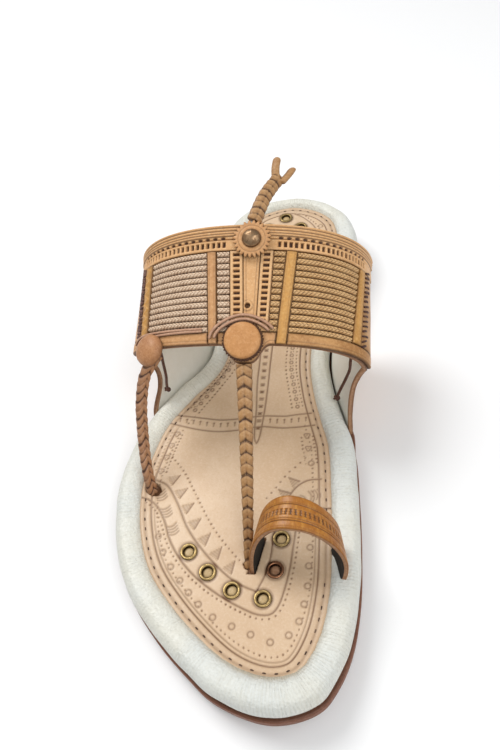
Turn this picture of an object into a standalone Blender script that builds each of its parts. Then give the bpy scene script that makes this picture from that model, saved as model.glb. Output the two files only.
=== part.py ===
"""Kolhapuri toe-ring sandal for the right foot, built as its maker would put it together.

Units are metres and +Z is up. The toe points to -Y, the heel to +Y, and the big-toe (medial) side is +X.
The sandal stands on its outsole at z = 0, and its box is centred on the origin.
"""
import bpy
import bmesh
import numpy as np
from math import cos, exp, pi, radians, sin, sqrt
from mathutils import Vector

# Driving sizes of the sole
SHOE_LENGTH = 0.2892
BALL_WIDTH = 0.1116
WAIST_WIDTH = 0.0626
HEEL_WIDTH = 0.0782
OUTSOLE_THICK = 0.0060
CUSHION_THICK = 0.0122
INSOLE_THICK = 0.0022
HEEL_LIFT = 0.0055
TOE_SPRING = 0.0060
ARCH_RISE = 0.0040
RIM_WIDTH = 0.0120
RIM_STAND = 0.0025
SOLE_EDGE = 0.0006
PIECE_GAP = 0.0003

# Driving sizes of the strap over the instep
WALL_THICK = 0.0022
OVERLAY_THICK = 0.0015
BAND_WIDTH = 0.0560
BAND_HALF_SPAN = 0.0555
BAND_CENTRE = 0.0043
FRONT_RIDGE_HIGH = 0.0714
BACK_RIDGE_HIGH = 0.0960
FRONT_SIDE_HIGH = 0.0450
BACK_SIDE_HIGH = 0.0527
BAND_ROUNDNESS = 2.33
ROW_RELIEF = 0.0006

# Driving sizes of the small pieces
EYELET_WIDTH = 0.0075
EYELET_BORE = 0.0040
EYELET_CROWN = 0.0006
EYELET_SIDES = 9
ROSETTE_WIDTH = 0.0160
STUD_WIDTH = 0.0076
BUTTON_WIDTH = 0.0172
SIDE_BUTTON_WIDTH = 0.0152
BRAID_WIDTH = 0.0072
BRAID_THICK = 0.0052
BRAID_PITCH = 0.0046
TOE_RING_SPAN = 0.0352
TOE_RING_HIGH = 0.0320
TOE_RING_WIDTH = 0.0142
TOE_RING_THICK = 0.0026
THONG_WIDTH = 0.0016
THONG_END_WIDTH = 0.0014

ORIGIN_ALONG = 0.5025
ROW_COUNT = 12
LADDER_SLOTS = 13
BORDER_SLOTS = 14


def smooth(value):
    """Soft step from 0 to 1."""
    value = min(max(value, 0.0), 1.0)
    return value * value * (3 - 2 * value)


def mix(start, end, share):
    return start + (end - start) * share


def along_to_y(along):
    """Place on the shoe's length: 0 at the toe's tip, 1 at the heel's."""
    return (along - ORIGIN_ALONG) * SHOE_LENGTH


def y_to_along(y):
    return y / SHOE_LENGTH + ORIGIN_ALONG


# Sections of the footbed: place along the shoe, middle as a share of the ball's width,
# half width as a share of the named width, and the width's name
FOOTBED_SECTIONS = (
    ("along", "middle", "half", "width"),
    (0.020, 0.178, 0.179, "ball"),
    (0.050, 0.152, 0.264, "ball"),
    (0.095, 0.108, 0.355, "ball"),
    (0.164, 0.047, 0.445, "ball"),
    (0.243, 0.006, 0.490, "ball"),
    (0.330, -0.014, 0.500, "ball"),
    (0.409, -0.007, 0.475, "ball"),
    (0.464, -0.003, 0.424, "ball"),
    (0.518, 0.025, 0.626, "waist"),
    (0.577, 0.072, 0.500, "waist"),
    (0.675, 0.090, 0.503, "waist"),
    (0.779, 0.110, 0.458, "heel"),
    (0.864, 0.126, 0.500, "heel"),
    (0.933, 0.122, 0.442, "heel"),
    (0.969, 0.122, 0.329, "heel"),
    (0.991, 0.124, 0.175, "heel"),
)
TOE_TIP_MIDDLE = 0.201
HEEL_TIP_MIDDLE = 0.125

# Width of the padded rim beside the insole: place along the shoe, share of RIM_WIDTH
RIM_SHARES = (
    ("along", "share"),
    (0.00, 1.14),
    (0.12, 1.00),
    (0.40, 0.97),
    (0.52, 0.80),
    (0.62, 0.72),
    (0.75, 0.85),
    (0.86, 1.00),
    (0.94, 0.80),
    (1.00, 0.62),
)

ARCH_FROM = 0.40
BREAST_AT = 0.695
BREAST_RUN = 0.008
LIFT_FROM = 0.42
LIFT_TO = 0.71
SPRING_FROM = 0.174
OUTLINE_STEPS = 26
NAMED_WIDTHS = {"ball": BALL_WIDTH, "waist": WAIST_WIDTH, "heel": HEEL_WIDTH}


def column(table, name):
    """One named column of a table, as numbers."""
    place = table[0].index(name)
    return [row[place] for row in table[1:]]


def spline_loop(points, steps):
    """Closed smooth curve through points in a plane, `steps` samples to each stretch."""
    points = np.array(points)
    count = len(points)
    samples = []
    for i in range(count):
        p0, p1, p2, p3 = (points[(i + k) % count] for k in (-1, 0, 1, 2))
        knots = [0.0]
        for a, b in ((p0, p1), (p1, p2), (p2, p3)):
            knots.append(knots[-1] + sqrt(np.linalg.norm(b - a)))
        t0, t1, t2, t3 = knots
        for t in np.linspace(t1, t2, steps, endpoint=False):
            a1 = (t1 - t) / (t1 - t0) * p0 + (t - t0) / (t1 - t0) * p1
            a2 = (t2 - t) / (t2 - t1) * p1 + (t - t1) / (t2 - t1) * p2
            a3 = (t3 - t) / (t3 - t2) * p2 + (t - t2) / (t3 - t2) * p3
            b1 = (t2 - t) / (t2 - t0) * a1 + (t - t0) / (t2 - t0) * a2
            b2 = (t3 - t) / (t3 - t1) * a2 + (t - t1) / (t3 - t1) * a3
            samples.append((t2 - t) / (t2 - t1) * b1 + (t - t1) / (t2 - t1) * b2)
    return np.array(samples)


def footbed_curve():
    """The footbed's widest outline, from the toe's tip up the medial side and back down the lateral."""
    medial = []
    lateral = []
    for along, middle, half, width in FOOTBED_SECTIONS[1:]:
        centre = middle * BALL_WIDTH
        reach = half * NAMED_WIDTHS[width]
        medial.append((centre + reach, along_to_y(along)))
        lateral.append((centre - reach, along_to_y(along)))
    toe = (TOE_TIP_MIDDLE * BALL_WIDTH, along_to_y(0.0))
    heel = (HEEL_TIP_MIDDLE * BALL_WIDTH, along_to_y(1.0))
    return spline_loop([toe] + medial + [heel] + lateral[::-1], 14)


FOOTBED_CURVE = footbed_curve()


def offset_curve(margin):
    """The footbed's outline moved outwards by margin(along), a length at each place on the shoe."""
    ahead = np.roll(FOOTBED_CURVE, -1, axis=0) - np.roll(FOOTBED_CURVE, 1, axis=0)
    ahead /= np.linalg.norm(ahead, axis=1)[:, None]
    outward = np.stack([ahead[:, 1], -ahead[:, 0]], axis=1)
    reach = np.array([margin(y_to_along(y)) for y in FOOTBED_CURVE[:, 1]])
    return FOOTBED_CURVE + outward * reach[:, None]


def stations():
    """Places along the shoe for the sole's sections, close together at its two ends."""
    places = [(1 - cos(pi * k / OUTLINE_STEPS)) / 2 for k in range(1, OUTLINE_STEPS)]
    breast = (BREAST_AT, BREAST_AT + BREAST_RUN)
    places = [p for p in places if abs(p - BREAST_AT) > 0.02]
    return sorted(places + list(breast))


def outline_ring(margin, height):
    """Ring of points at margin(along) from the footbed's outline and at height(y)."""
    curve = offset_curve(margin)
    toe = int(np.argmin(curve[:, 1]))
    curve = np.roll(curve, -toe, axis=0)
    heel = int(np.argmax(curve[:, 1]))
    medial = curve[:heel + 1]
    lateral = np.vstack([curve[heel:], curve[:1]])[::-1]
    low, high = curve[0], curve[heel]
    sides = []
    for side in (medial, lateral):
        ys = [mix(low[1], high[1], place) for place in stations()]
        sides.append([Vector((float(np.interp(y, side[:, 1], side[:, 0])), y, height(y))) for y in ys])
    toe_point = Vector((low[0], low[1], height(low[1])))
    heel_point = Vector((high[0], high[1], height(high[1])))
    return [toe_point] + sides[0] + [heel_point] + sides[1][::-1]


def edge_x(y, side, margin=0.0):
    """Where the outline lies at y: side 1 is medial and -1 lateral."""
    ring = outline_ring(lambda along: margin, lambda y: 0.0)
    half = len(ring) // 2
    points = ring[:half + 1] if side > 0 else [ring[0]] + ring[:half - 1:-1]
    return float(np.interp(y, [p.y for p in points], [p.x for p in points]))


def toe_spring(y):
    lift = max(0.0, (along_to_y(SPRING_FROM) - y) / (along_to_y(SPRING_FROM) - along_to_y(0.0)))
    return TOE_SPRING * lift ** 2


def heel_lift(y):
    return HEEL_LIFT * smooth((y_to_along(y) - LIFT_FROM) / (LIFT_TO - LIFT_FROM))


def outsole_top(y):
    return OUTSOLE_THICK + toe_spring(y) + heel_lift(y)


def outsole_bottom(y):
    along = y_to_along(y)
    if along > BREAST_AT + 0.5 * BREAST_RUN:
        return 0.0
    return toe_spring(y) + ARCH_RISE * smooth((along - ARCH_FROM) / (BREAST_AT - ARCH_FROM))


def rim_top(y):
    return outsole_top(y) + PIECE_GAP + CUSHION_THICK


def insole_top(y):
    return rim_top(y) - RIM_STAND


def insole_bottom(y):
    return insole_top(y) - INSOLE_THICK


def rim_inset(along):
    """How far the insole's recess lies inside the footbed's outline."""
    return RIM_WIDTH * float(np.interp(along, column(RIM_SHARES, "along"), column(RIM_SHARES, "share")))


def new_material(name, colour, roughness, metallic=0.0):
    material = bpy.data.materials.new(name)
    material.use_nodes = True
    shader = material.node_tree.nodes["Principled BSDF"]
    shader.inputs["Base Color"].default_value = (*colour, 1.0)
    shader.inputs["Roughness"].default_value = roughness
    shader.inputs["Metallic"].default_value = metallic
    material.diffuse_color = (*colour, 1.0)
    return material


def new_object(name, mesh_data, material, cutter=False):
    """Put a bmesh in the scene as a closed solid with its faces pointing out."""
    bmesh.ops.recalc_face_normals(mesh_data, faces=mesh_data.faces)
    mesh = bpy.data.meshes.new(name)
    mesh_data.to_mesh(mesh)
    mesh_data.free()
    obj = bpy.data.objects.new(name, mesh)
    bpy.context.scene.collection.objects.link(obj)
    if cutter:
        obj.hide_render = True
        obj.display_type = "WIRE"
        return obj
    mesh.materials.append(material)
    mesh.shade_smooth()
    mesh.set_sharp_from_angle(angle=radians(35))
    return obj


def boolean(obj, tool, operation):
    modifier = obj.modifiers.new(operation.title(), "BOOLEAN")
    modifier.operation = operation
    modifier.solver = "EXACT"
    modifier.object = tool


def loft(rings, caps=True, loop=False):
    """Skin successive rings of points, closed by a face at either end unless they form a loop."""
    mesh = bmesh.new()
    layers = [[mesh.verts.new(point) for point in ring] for ring in rings]
    count = len(layers[0])
    pairs = list(zip(layers, layers[1:]))
    if loop:
        pairs.append((layers[-1], layers[0]))
    for lower, upper in pairs:
        for i in range(count):
            j = (i + 1) % count
            mesh.faces.new((lower[i], lower[j], upper[j], upper[i]))
    if caps and not loop:
        mesh.faces.new(layers[0][::-1])
        mesh.faces.new(layers[-1])
    return mesh


def sole_loft(rings):
    """Skin rings of the sole's outline and close top and bottom with strips from side to side."""
    mesh = loft(rings, caps=False)
    mesh.verts.ensure_lookup_table()
    count = len(rings[0])
    half = count // 2
    for start in (0, count * (len(rings) - 1)):
        verts = mesh.verts[start:start + count]
        mesh.faces.new((verts[0], verts[1], verts[-1]))
        for i in range(1, half - 1):
            mesh.faces.new((verts[i], verts[i + 1], verts[count - i - 1], verts[count - i]))
        mesh.faces.new((verts[half - 1], verts[half], verts[half + 1]))
    return mesh


# Where the two side flaps of the strap go down between footbed and outsole: share of the length
FLAP_LATERAL_FRONT = 0.475
FLAP_MEDIAL_FRONT = 0.452
FLAP_BACK = 0.640
FLAP_EASE = 0.045
FLAP_CLEAR = 0.0007
TOE_EDGE = 0.0004


def flap_room(along):
    """Extra outsole beside the flaps, so that they stand on it."""
    front = smooth((along - FLAP_MEDIAL_FRONT + FLAP_EASE) / FLAP_EASE)
    back = smooth((FLAP_BACK + FLAP_EASE - along) / FLAP_EASE)
    return (WALL_THICK + FLAP_CLEAR) * front * back


def outsole_margin(along):
    toe = TOE_EDGE * smooth((0.2 - along) / 0.2)
    return SOLE_EDGE + toe + flap_room(along)


def build_outsole(material):
    bevel = 0.0008
    rings = [
        outline_ring(lambda along: outsole_margin(along) - bevel, outsole_bottom),
        outline_ring(outsole_margin, lambda y: outsole_bottom(y) + bevel),
        outline_ring(outsole_margin, lambda y: outsole_top(y) - bevel),
        outline_ring(lambda along: outsole_margin(along) - bevel, outsole_top),
    ]
    return new_object("outsole", sole_loft(rings), material)


# Section of the padded footbed: inset from the outline as a share of RIM_WIDTH, height as a share
# of CUSHION_THICK; the last two rows follow the insole's recess instead
CUSHION_SECTION = (
    ("inset", "height"),
    (0.30, 0.00),
    (0.08, 0.16),
    (0.00, 0.48),
    (0.08, 0.78),
    (0.27, 0.96),
    (0.50, 1.00),
)


def build_footbed(material):
    def cushion_height(share):
        return lambda y: outsole_top(y) + PIECE_GAP + CUSHION_THICK * share

    rings = []
    for inset, height in CUSHION_SECTION[1:]:
        rings.append(outline_ring(lambda along, inset=inset: -inset * RIM_WIDTH, cushion_height(height)))
    lip = 0.10 * RIM_WIDTH
    recess = INSOLE_THICK + RIM_STAND + PIECE_GAP
    rings.append(outline_ring(lambda along: -rim_inset(along) + 2 * lip, lambda y: rim_top(y) - 0.3 * lip))
    rings.append(outline_ring(lambda along: -rim_inset(along), lambda y: rim_top(y) - 1.5 * lip))
    rings.append(outline_ring(lambda along: -rim_inset(along), lambda y: rim_top(y) - recess))
    return new_object("footbed", sole_loft(rings), material)


def build_insole(material):
    def margin(along):
        return -rim_inset(along) - PIECE_GAP

    rings = [outline_ring(margin, insole_bottom), outline_ring(margin, insole_top)]
    return new_object("insole", sole_loft(rings), material)


# The strap over the instep. A place on it is given by `turn`, from -1 at its lateral side over 0 at
# the ridge to 1 at its medial side, and on down the flaps to -FLAP_TURN and FLAP_TURN;
# by `across`, from 0 at its front edge to 1 at its back edge; and by a height above its outer face.
FLAP_TURN = 1.55
FLAP_TAPER_FRONT = 4.0
FLAP_TAPER_BACK = 1.5
FLAP_TUCK = 0.0060
OVERLAY_END = 0.94
RIDGE_FRONT_ALONG = 0.463
SIDE_FRONT_ALONG = 0.4957
RIDGE_RUN = 0.825
SIDE_RUN = 0.953
SIDE_SKEW = 0.0043
PANEL_FRONT = 0.10
PANEL_BACK = 0.795
TONGUE_AT = 0.026
TONGUE_SPREAD = 0.085
TONGUE_REACH = 0.155
TURN_GAP = PIECE_GAP / (0.5 * pi * BAND_HALF_SPAN)
ACROSS_GAP = PIECE_GAP / BAND_WIDTH
BAND_STACK = OVERLAY_THICK + PIECE_GAP + WALL_THICK
TANGENT_STEP = 0.004


def ridge_y(across):
    return along_to_y(RIDGE_FRONT_ALONG) + RIDGE_RUN * BAND_WIDTH * across


def side_y(across, side):
    return along_to_y(SIDE_FRONT_ALONG) + SIDE_RUN * BAND_WIDTH * across - side * SIDE_SKEW * (1 - across)


def arch_face(turn, across):
    """Outer face of the arched part of the strap."""
    angle = turn * pi / 2
    spread = abs(sin(angle)) ** BAND_ROUNDNESS + abs(cos(angle)) ** BAND_ROUNDNESS
    radius = spread ** (-1 / BAND_ROUNDNESS)
    side_high = mix(FRONT_SIDE_HIGH, BACK_SIDE_HIGH, across)
    ridge_high = mix(FRONT_RIDGE_HIGH, BACK_RIDGE_HIGH, across)
    rise = radius * cos(angle)
    base = side_y(across, 1 if turn > 0 else -1)
    x = BAND_CENTRE + BAND_HALF_SPAN * radius * sin(angle)
    return Vector((x, mix(base, ridge_y(across), rise), mix(side_high, ridge_high, rise)))


FLAP_FOOT_ROWS = 9


def flap_feet(side):
    """Foot of a flap's outer face, at a few places across it."""
    front = FLAP_MEDIAL_FRONT if side > 0 else FLAP_LATERAL_FRONT
    feet = []
    for k in range(FLAP_FOOT_ROWS):
        y = along_to_y(mix(front, FLAP_BACK, k / (FLAP_FOOT_ROWS - 1)))
        x = edge_x(y, side, FLAP_CLEAR + BAND_STACK)
        feet.append((x, y, outsole_top(y) + PIECE_GAP))
    return np.array(feet)


FLAP_FEET = {side: flap_feet(side) for side in (-1, 1)}


def band_face(turn, across):
    """Outer face of the whole strap, flaps included."""
    if abs(turn) <= 1:
        return arch_face(turn, across)
    side = 1 if turn > 0 else -1
    top = arch_face(side, across)
    places = np.linspace(0, 1, FLAP_FOOT_ROWS)
    foot = [float(np.interp(across, places, FLAP_FEET[side][:, k])) for k in range(3)]
    down = (abs(turn) - 1) / (FLAP_TURN - 1)
    taper = mix(FLAP_TAPER_FRONT, FLAP_TAPER_BACK, smooth(across))
    x = mix(foot[0], top.x, (1 - min(down, 1.0)) ** taper)
    if side < 0:
        x += FLAP_TUCK * max(0.0, 1 - across) ** 2 * sin(pi * min(down, 1.0) ** 0.6) ** 2
    return Vector((x, mix(top.y, foot[1], smooth(down)), mix(top.z, foot[2], down)))


def band_point(turn, across, height):
    """Point at a height above the strap's outer face."""
    if height == 0:
        return band_face(turn, across)
    ahead = band_face(turn + TANGENT_STEP, across) - band_face(turn - TANGENT_STEP, across)
    over = band_face(turn, across + TANGENT_STEP) - band_face(turn, across - TANGENT_STEP)
    normal = ahead.cross(over).normalized()
    return band_face(turn, across) + normal * height


def front_edge(turn):
    """Front edge of the strap: it dips to a tongue under the front button."""
    return -TONGUE_REACH * exp(-((turn - TONGUE_AT) / TONGUE_SPREAD) ** 4)


def border_across(turn, share):
    """Place across the front border: 0 at the strap's front edge, 1 at the woven panels."""
    return mix(front_edge(turn), PANEL_FRONT, share)


def build_upper_band(material):
    """The leather and lining from flap to flap, one wall under every overlay."""
    outer = -(OVERLAY_THICK + PIECE_GAP)
    inner = -BAND_STACK
    turns = list(np.linspace(-FLAP_TURN, -1, 7)[:-1]) + list(np.linspace(-1, 1, 27))
    turns += list(np.linspace(1, FLAP_TURN, 7)[1:])
    rings = []
    for turn in turns:
        places = [mix(front_edge(turn), 1.0, share) for share in np.linspace(0, 1, 5)]
        top = [band_point(turn, across, outer) for across in places]
        under = [band_point(turn, across, inner) for across in places[::-1]]
        rings.append(top + under)
    return new_object("upper_band", loft(rings), material)


# Edges of the strips that run from front to back, as `turn` at the strap's front and back edge
STRIP_EDGES = {
    "side_lateral": ((-OVERLAY_END, -OVERLAY_END), (-0.619, -0.632)),
    "strip_lateral_outer": ((-0.615, -0.628), (-0.547, -0.542)),
    "strip_lateral_inner": ((-0.154, -0.182), (-0.112, -0.136)),
    "ladder_lateral": ((-0.042, -0.062), (0.020, 0.002)),
    "ladder_medial": ((0.080, 0.104), (0.135, 0.166)),
    "strip_medial_inner": ((0.180, 0.238), (0.228, 0.290)),
    "strip_medial_outer": ((0.603, 0.705), (0.683, 0.768)),
    "side_medial": ((0.687, 0.772), (OVERLAY_END, OVERLAY_END)),
}
WOVEN_PANELS = {
    "woven_lateral": ("strip_lateral_outer", "strip_lateral_inner", 7),
    "woven_lateral_inner": ("strip_lateral_inner", "ladder_lateral", 3),
    "woven_medial_inner": ("ladder_medial", "strip_medial_inner", 3),
    "woven_medial": ("strip_medial_inner", "strip_medial_outer", 7),
}


def strip_turn(edge, across):
    return mix(edge[0], edge[1], across)


def between(left, right, share, across):
    """Turn at a share of the way from one leaning edge to another."""
    return mix(strip_turn(left, across), strip_turn(right, across), share)


def shifted(edge, amount):
    return (edge[0] + amount, edge[1] + amount)


def panel_sweep(name, left, right, steps, profile, material, cutter=False):
    """Sweep a closed profile of (across, height) points between two leaning edges."""
    rings = []
    for share in np.linspace(0, 1, steps + 1):
        rings.append([band_point(between(left, right, share, across), across, height)
                      for across, height in profile])
    return new_object(name, loft(rings), material, cutter)


def woven_profile():
    """Bottom edge and a row of ridges, one for each braided cord."""
    start = PANEL_FRONT + ACROSS_GAP
    end = PANEL_BACK - ACROSS_GAP
    profile = [(end, -OVERLAY_THICK), (start, -OVERLAY_THICK)]
    for row in range(ROW_COUNT):
        profile.append((mix(start, end, row / ROW_COUNT), -ROW_RELIEF))
        profile.append((mix(start, end, (row + 0.5) / ROW_COUNT), 0.0))
    profile.append((end, -ROW_RELIEF))
    return profile


def build_woven_panels(material):
    for name, (left, right, steps) in WOVEN_PANELS.items():
        left_edge = shifted(STRIP_EDGES[left][1], 1.5 * TURN_GAP)
        right_edge = shifted(STRIP_EDGES[right][0], -1.5 * TURN_GAP)
        panel_sweep(name, left_edge, right_edge, steps, woven_profile(), material)


def build_strips(material):
    """The four plain strips that run over the panels from front to back."""
    starts = {"strip_lateral_outer": PANEL_FRONT, "strip_medial_outer": PANEL_FRONT}
    for name, (left, right) in STRIP_EDGES.items():
        if not name.startswith("strip"):
            continue
        rings = []
        for share in np.linspace(0, 1, 9):
            across = mix(starts.get(name, 0.0) + ACROSS_GAP, PANEL_BACK - ACROSS_GAP, share)
            section = ((0.0, -OVERLAY_THICK), (0.0, 0.0002), (0.5, 0.0005), (1.0, 0.0002), (1.0, -OVERLAY_THICK))
            rings.append([band_point(between(left, right, side, across), across, height)
                          for side, height in section])
        new_object(name, loft(rings), material)


def build_side_panels(material):
    """Plain ends of the strap on its two sides, down to where the flaps begin."""
    for name, steps in (("side_lateral", 6), ("side_medial", 5)):
        left, right = STRIP_EDGES[name]
        profile = [(PANEL_BACK - ACROSS_GAP, -OVERLAY_THICK), (PANEL_FRONT + ACROSS_GAP, -OVERLAY_THICK)]
        profile += [(mix(PANEL_FRONT + ACROSS_GAP, PANEL_BACK - ACROSS_GAP, share), 0.0)
                    for share in (0.0, 0.34, 0.67, 1.0)]
        panel_sweep(name, left, right, steps, profile, material)


def build_front_borders(material):
    """The plain border along the front edge, in the stretches between the inner strips."""
    lateral = STRIP_EDGES["strip_lateral_inner"]
    medial = STRIP_EDGES["strip_medial_inner"]
    stretches = (
        ("front_border_lateral", (-OVERLAY_END, -OVERLAY_END), shifted(lateral[0], -TURN_GAP), 14),
        ("front_border_centre", shifted(lateral[1], TURN_GAP), shifted(medial[0], -TURN_GAP), 10),
        ("front_border_medial", shifted(medial[1], TURN_GAP), (OVERLAY_END, OVERLAY_END), 12),
    )
    section = ((0.0, -OVERLAY_THICK), (0.0, -0.0001), (0.5, 0.0002), (1.0, -0.0001), (1.0, -OVERLAY_THICK))
    for name, left, right, steps in stretches:
        rings = []
        for run in np.linspace(0, 1, steps + 1):
            ring = []
            for share, height in section:
                across = border_across(between(left, right, run, 0.0), share)
                ring.append(band_point(between(left, right, run, across), across, height))
            rings.append(ring)
        new_object(name, loft(rings), material)


def lattice(name, turns, rows, open_cells, height, material, lean=None):
    """A flat strap with rectangular slots: top and bottom skins on a grid, and walls round each hole."""
    mesh = bmesh.new()
    columns = len(turns)
    grid = {}
    for i, turn in enumerate(turns):
        for j, across in enumerate(rows):
            place = lean(turn, across) if lean else turn
            for level, lift in (("top", height), ("under", -OVERLAY_THICK)):
                grid[i, j, level] = mesh.verts.new(band_point(place, across, lift))

    def is_open(i, j):
        outside = i < 0 or j < 0 or i >= columns - 1 or j >= len(rows) - 1
        return outside or (i, j) in open_cells

    for i in range(columns - 1):
        for j in range(len(rows) - 1):
            if is_open(i, j):
                continue
            corners = ((i, j), (i + 1, j), (i + 1, j + 1), (i, j + 1))
            mesh.faces.new([grid[a, b, "top"] for a, b in corners])
            mesh.faces.new([grid[a, b, "under"] for a, b in corners[::-1]])
            beside = ((i, j - 1), (i + 1, j), (i, j + 1), (i - 1, j))
            for k, cell in enumerate(beside):
                if is_open(*cell):
                    a, b = corners[k], corners[(k + 1) % 4]
                    mesh.faces.new((grid[*a, "top"], grid[*a, "under"], grid[*b, "under"], grid[*b, "top"]))
    return new_object(name, mesh, material)


LADDER_FROM = 0.25
LADDER_TO = 0.775
LADDER_RAIL = 0.22


def build_ladders(material):
    """The two strips of slots beside the centre panel."""
    rows = [PANEL_FRONT + ACROSS_GAP]
    for k in range(LADDER_SLOTS):
        start = mix(LADDER_FROM, LADDER_TO, k / LADDER_SLOTS)
        rows += [start, start + 0.55 * (LADDER_TO - LADDER_FROM) / LADDER_SLOTS]
    rows.append(PANEL_BACK - ACROSS_GAP)
    slots = {(1, 2 * k + 1) for k in range(LADDER_SLOTS)}
    for name in ("ladder_lateral", "ladder_medial"):
        left, right = STRIP_EDGES[name]

        def lean(share, across):
            return between(left, right, share, across)

        lattice(name, (0.0, LADDER_RAIL, 1 - LADDER_RAIL, 1.0), rows, slots, 0.0002, material, lean)


HOLE_AT = (0.037, 0.320)
HOLE_WIDTH = 0.0022


def build_centre_panel(material):
    left = shifted(STRIP_EDGES["ladder_lateral"][1], TURN_GAP)
    right = shifted(STRIP_EDGES["ladder_medial"][0], -TURN_GAP)
    start = PANEL_FRONT + ACROSS_GAP
    end = PANEL_BACK - ACROSS_GAP
    profile = [(end, -OVERLAY_THICK), (start, -OVERLAY_THICK)]
    profile += [(mix(start, end, share), 0.0) for share in np.linspace(0, 1, 5)]
    panel = panel_sweep("centre_panel", left, right, 2, profile, material)
    centre = band_point(*HOLE_AT, 0.0)
    axis = (band_point(*HOLE_AT, 0.002) - band_point(*HOLE_AT, -0.002)).normalized()
    cutter = turned("centre_hole_cutter", ((0.5 * HOLE_WIDTH, -0.003), (0.5 * HOLE_WIDTH, 0.003)), 10,
                    centre, axis, material, cutter=True, solid=True)
    boolean(panel, cutter, "DIFFERENCE")


# Punched border along the back edge: places of its slots as shares across the strap
SLOT_FRONT = 0.820
SLOT_BACK = 0.866
SLOT_BORDER_BACK = 0.885
SLOT_OUTER_LATERAL = -0.640
SLOT_INNER_LATERAL = -0.075
SLOT_INNER_MEDIAL = 0.175
SLOT_OUTER_MEDIAL = 0.740
BORDER_STAND = 0.0003
BORDER_EDGE = 1.014


def build_back_border(material):
    turns = list(np.linspace(-OVERLAY_END, SLOT_OUTER_LATERAL, 6)[:-1])
    slots = set()
    for start, end in ((SLOT_OUTER_LATERAL, SLOT_INNER_LATERAL), (SLOT_INNER_MEDIAL, SLOT_OUTER_MEDIAL)):
        for k in range(BORDER_SLOTS):
            edge = mix(start, end, k / BORDER_SLOTS)
            slots.add((len(turns), 1))
            turns += [edge, edge + 0.5 * (end - start) / BORDER_SLOTS]
        if start < 0:
            turns += list(np.linspace(SLOT_INNER_LATERAL, SLOT_INNER_MEDIAL, 5)[:-1])
    turns += list(np.linspace(SLOT_OUTER_MEDIAL, OVERLAY_END, 4))
    rows = (PANEL_BACK, SLOT_FRONT, SLOT_BACK, SLOT_BORDER_BACK)
    lattice("back_border_slots", turns, rows, slots, BORDER_STAND, material)
    start = SLOT_BORDER_BACK + ACROSS_GAP
    profile = (
        (start, -OVERLAY_THICK), (start, 0.0003), (0.925, 0.0008), (0.945, 0.0003), (0.968, 0.0009),
        (1.0, 0.0009), (BORDER_EDGE, 0.0002), (BORDER_EDGE, -OVERLAY_THICK),
    )
    rings = []
    for turn in np.linspace(-OVERLAY_END, OVERLAY_END, 25):
        rings.append([band_point(turn, across, height) for across, height in profile])
    new_object("back_border_ridge", loft(rings), material)


def turned(name, profile, sides, centre, axis, material, cutter=False, solid=False, teeth=0.0):
    """Turn a profile of (radius, height) about an axis. A solid one is closed by faces at its ends."""
    axis = axis.normalized()
    across = axis.orthogonal().normalized()
    over = axis.cross(across)
    rings = []
    for radius, height in profile:
        ring = []
        for k in range(sides):
            angle = 2 * pi * k / sides
            reach = radius * (1 - teeth * (k % 2))
            ring.append(centre + axis * height + (across * cos(angle) + over * sin(angle)) * reach)
        rings.append(ring)
    return new_object(name, loft(rings, caps=solid, loop=not solid), material, cutter)


UP = Vector((0, 0, 1))

# Eyelets: place along the shoe, and across as a share of the ball's width
FRONT_EYELETS = (
    ("along", "across"),
    (0.2183, -0.164),
    (0.1882, -0.078),
    (0.1633, 0.023),
    (0.1536, 0.142),
    (0.1965, 0.179),
    (0.2445, 0.194),
)
HEEL_EYELETS = (
    ("along", "across"),
    (0.8660, -0.058),
    (0.9110, 0.004),
    (0.9405, 0.093),
    (0.9110, 0.175),
    (0.8660, 0.232),
)


def deck_tilt(height, y):
    """Normal of a surface that runs along the shoe."""
    step = 0.004
    return Vector((0, height(y - step) - height(y + step), 2 * step)).normalized()


def build_eyelets(insole, material):
    barrel = 0.5 * EYELET_BORE + 0.0006
    profile = (
        (0.5 * EYELET_BORE, -0.0016),
        (0.5 * EYELET_BORE + 0.0003, EYELET_CROWN + PIECE_GAP),
        (0.5 * EYELET_WIDTH, PIECE_GAP + 0.0001),
        (barrel, PIECE_GAP),
        (barrel, -0.0016),
    )
    bore = barrel + PIECE_GAP
    for group, table in (("front", FRONT_EYELETS), ("heel", HEEL_EYELETS)):
        for number, (along, across) in enumerate(table[1:], start=1):
            y = along_to_y(along)
            centre = Vector((across * BALL_WIDTH, y, insole_top(y)))
            axis = deck_tilt(insole_top, y)
            turned(f"eyelet_{group}_{number}", profile, EYELET_SIDES, centre, axis, material)
            cutter = turned(f"eyelet_{group}_{number}_cutter", ((bore, -0.006), (bore, 0.006)), EYELET_SIDES,
                            centre, axis, material, cutter=True, solid=True)
            boolean(insole, cutter, "DIFFERENCE")


def oval_frames(path, width, thick, sides, side_hint, scales):
    """Rings of an oval tube along a path, its wide way square to the path and near side_hint."""
    rings = []
    count = len(path)
    for i, point in enumerate(path):
        ahead = (path[min(i + 1, count - 1)] - path[max(i - 1, 0)]).normalized()
        wide = (side_hint - ahead * side_hint.dot(ahead)).normalized()
        deep = ahead.cross(wide)
        scale = scales[i]
        ring = []
        for k in range(sides):
            angle = 2 * pi * k / sides
            ring.append(point + wide * (0.5 * width * scale * cos(angle)) + deep * (0.5 * thick * scale * sin(angle)))
        rings.append(ring)
    return rings


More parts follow.
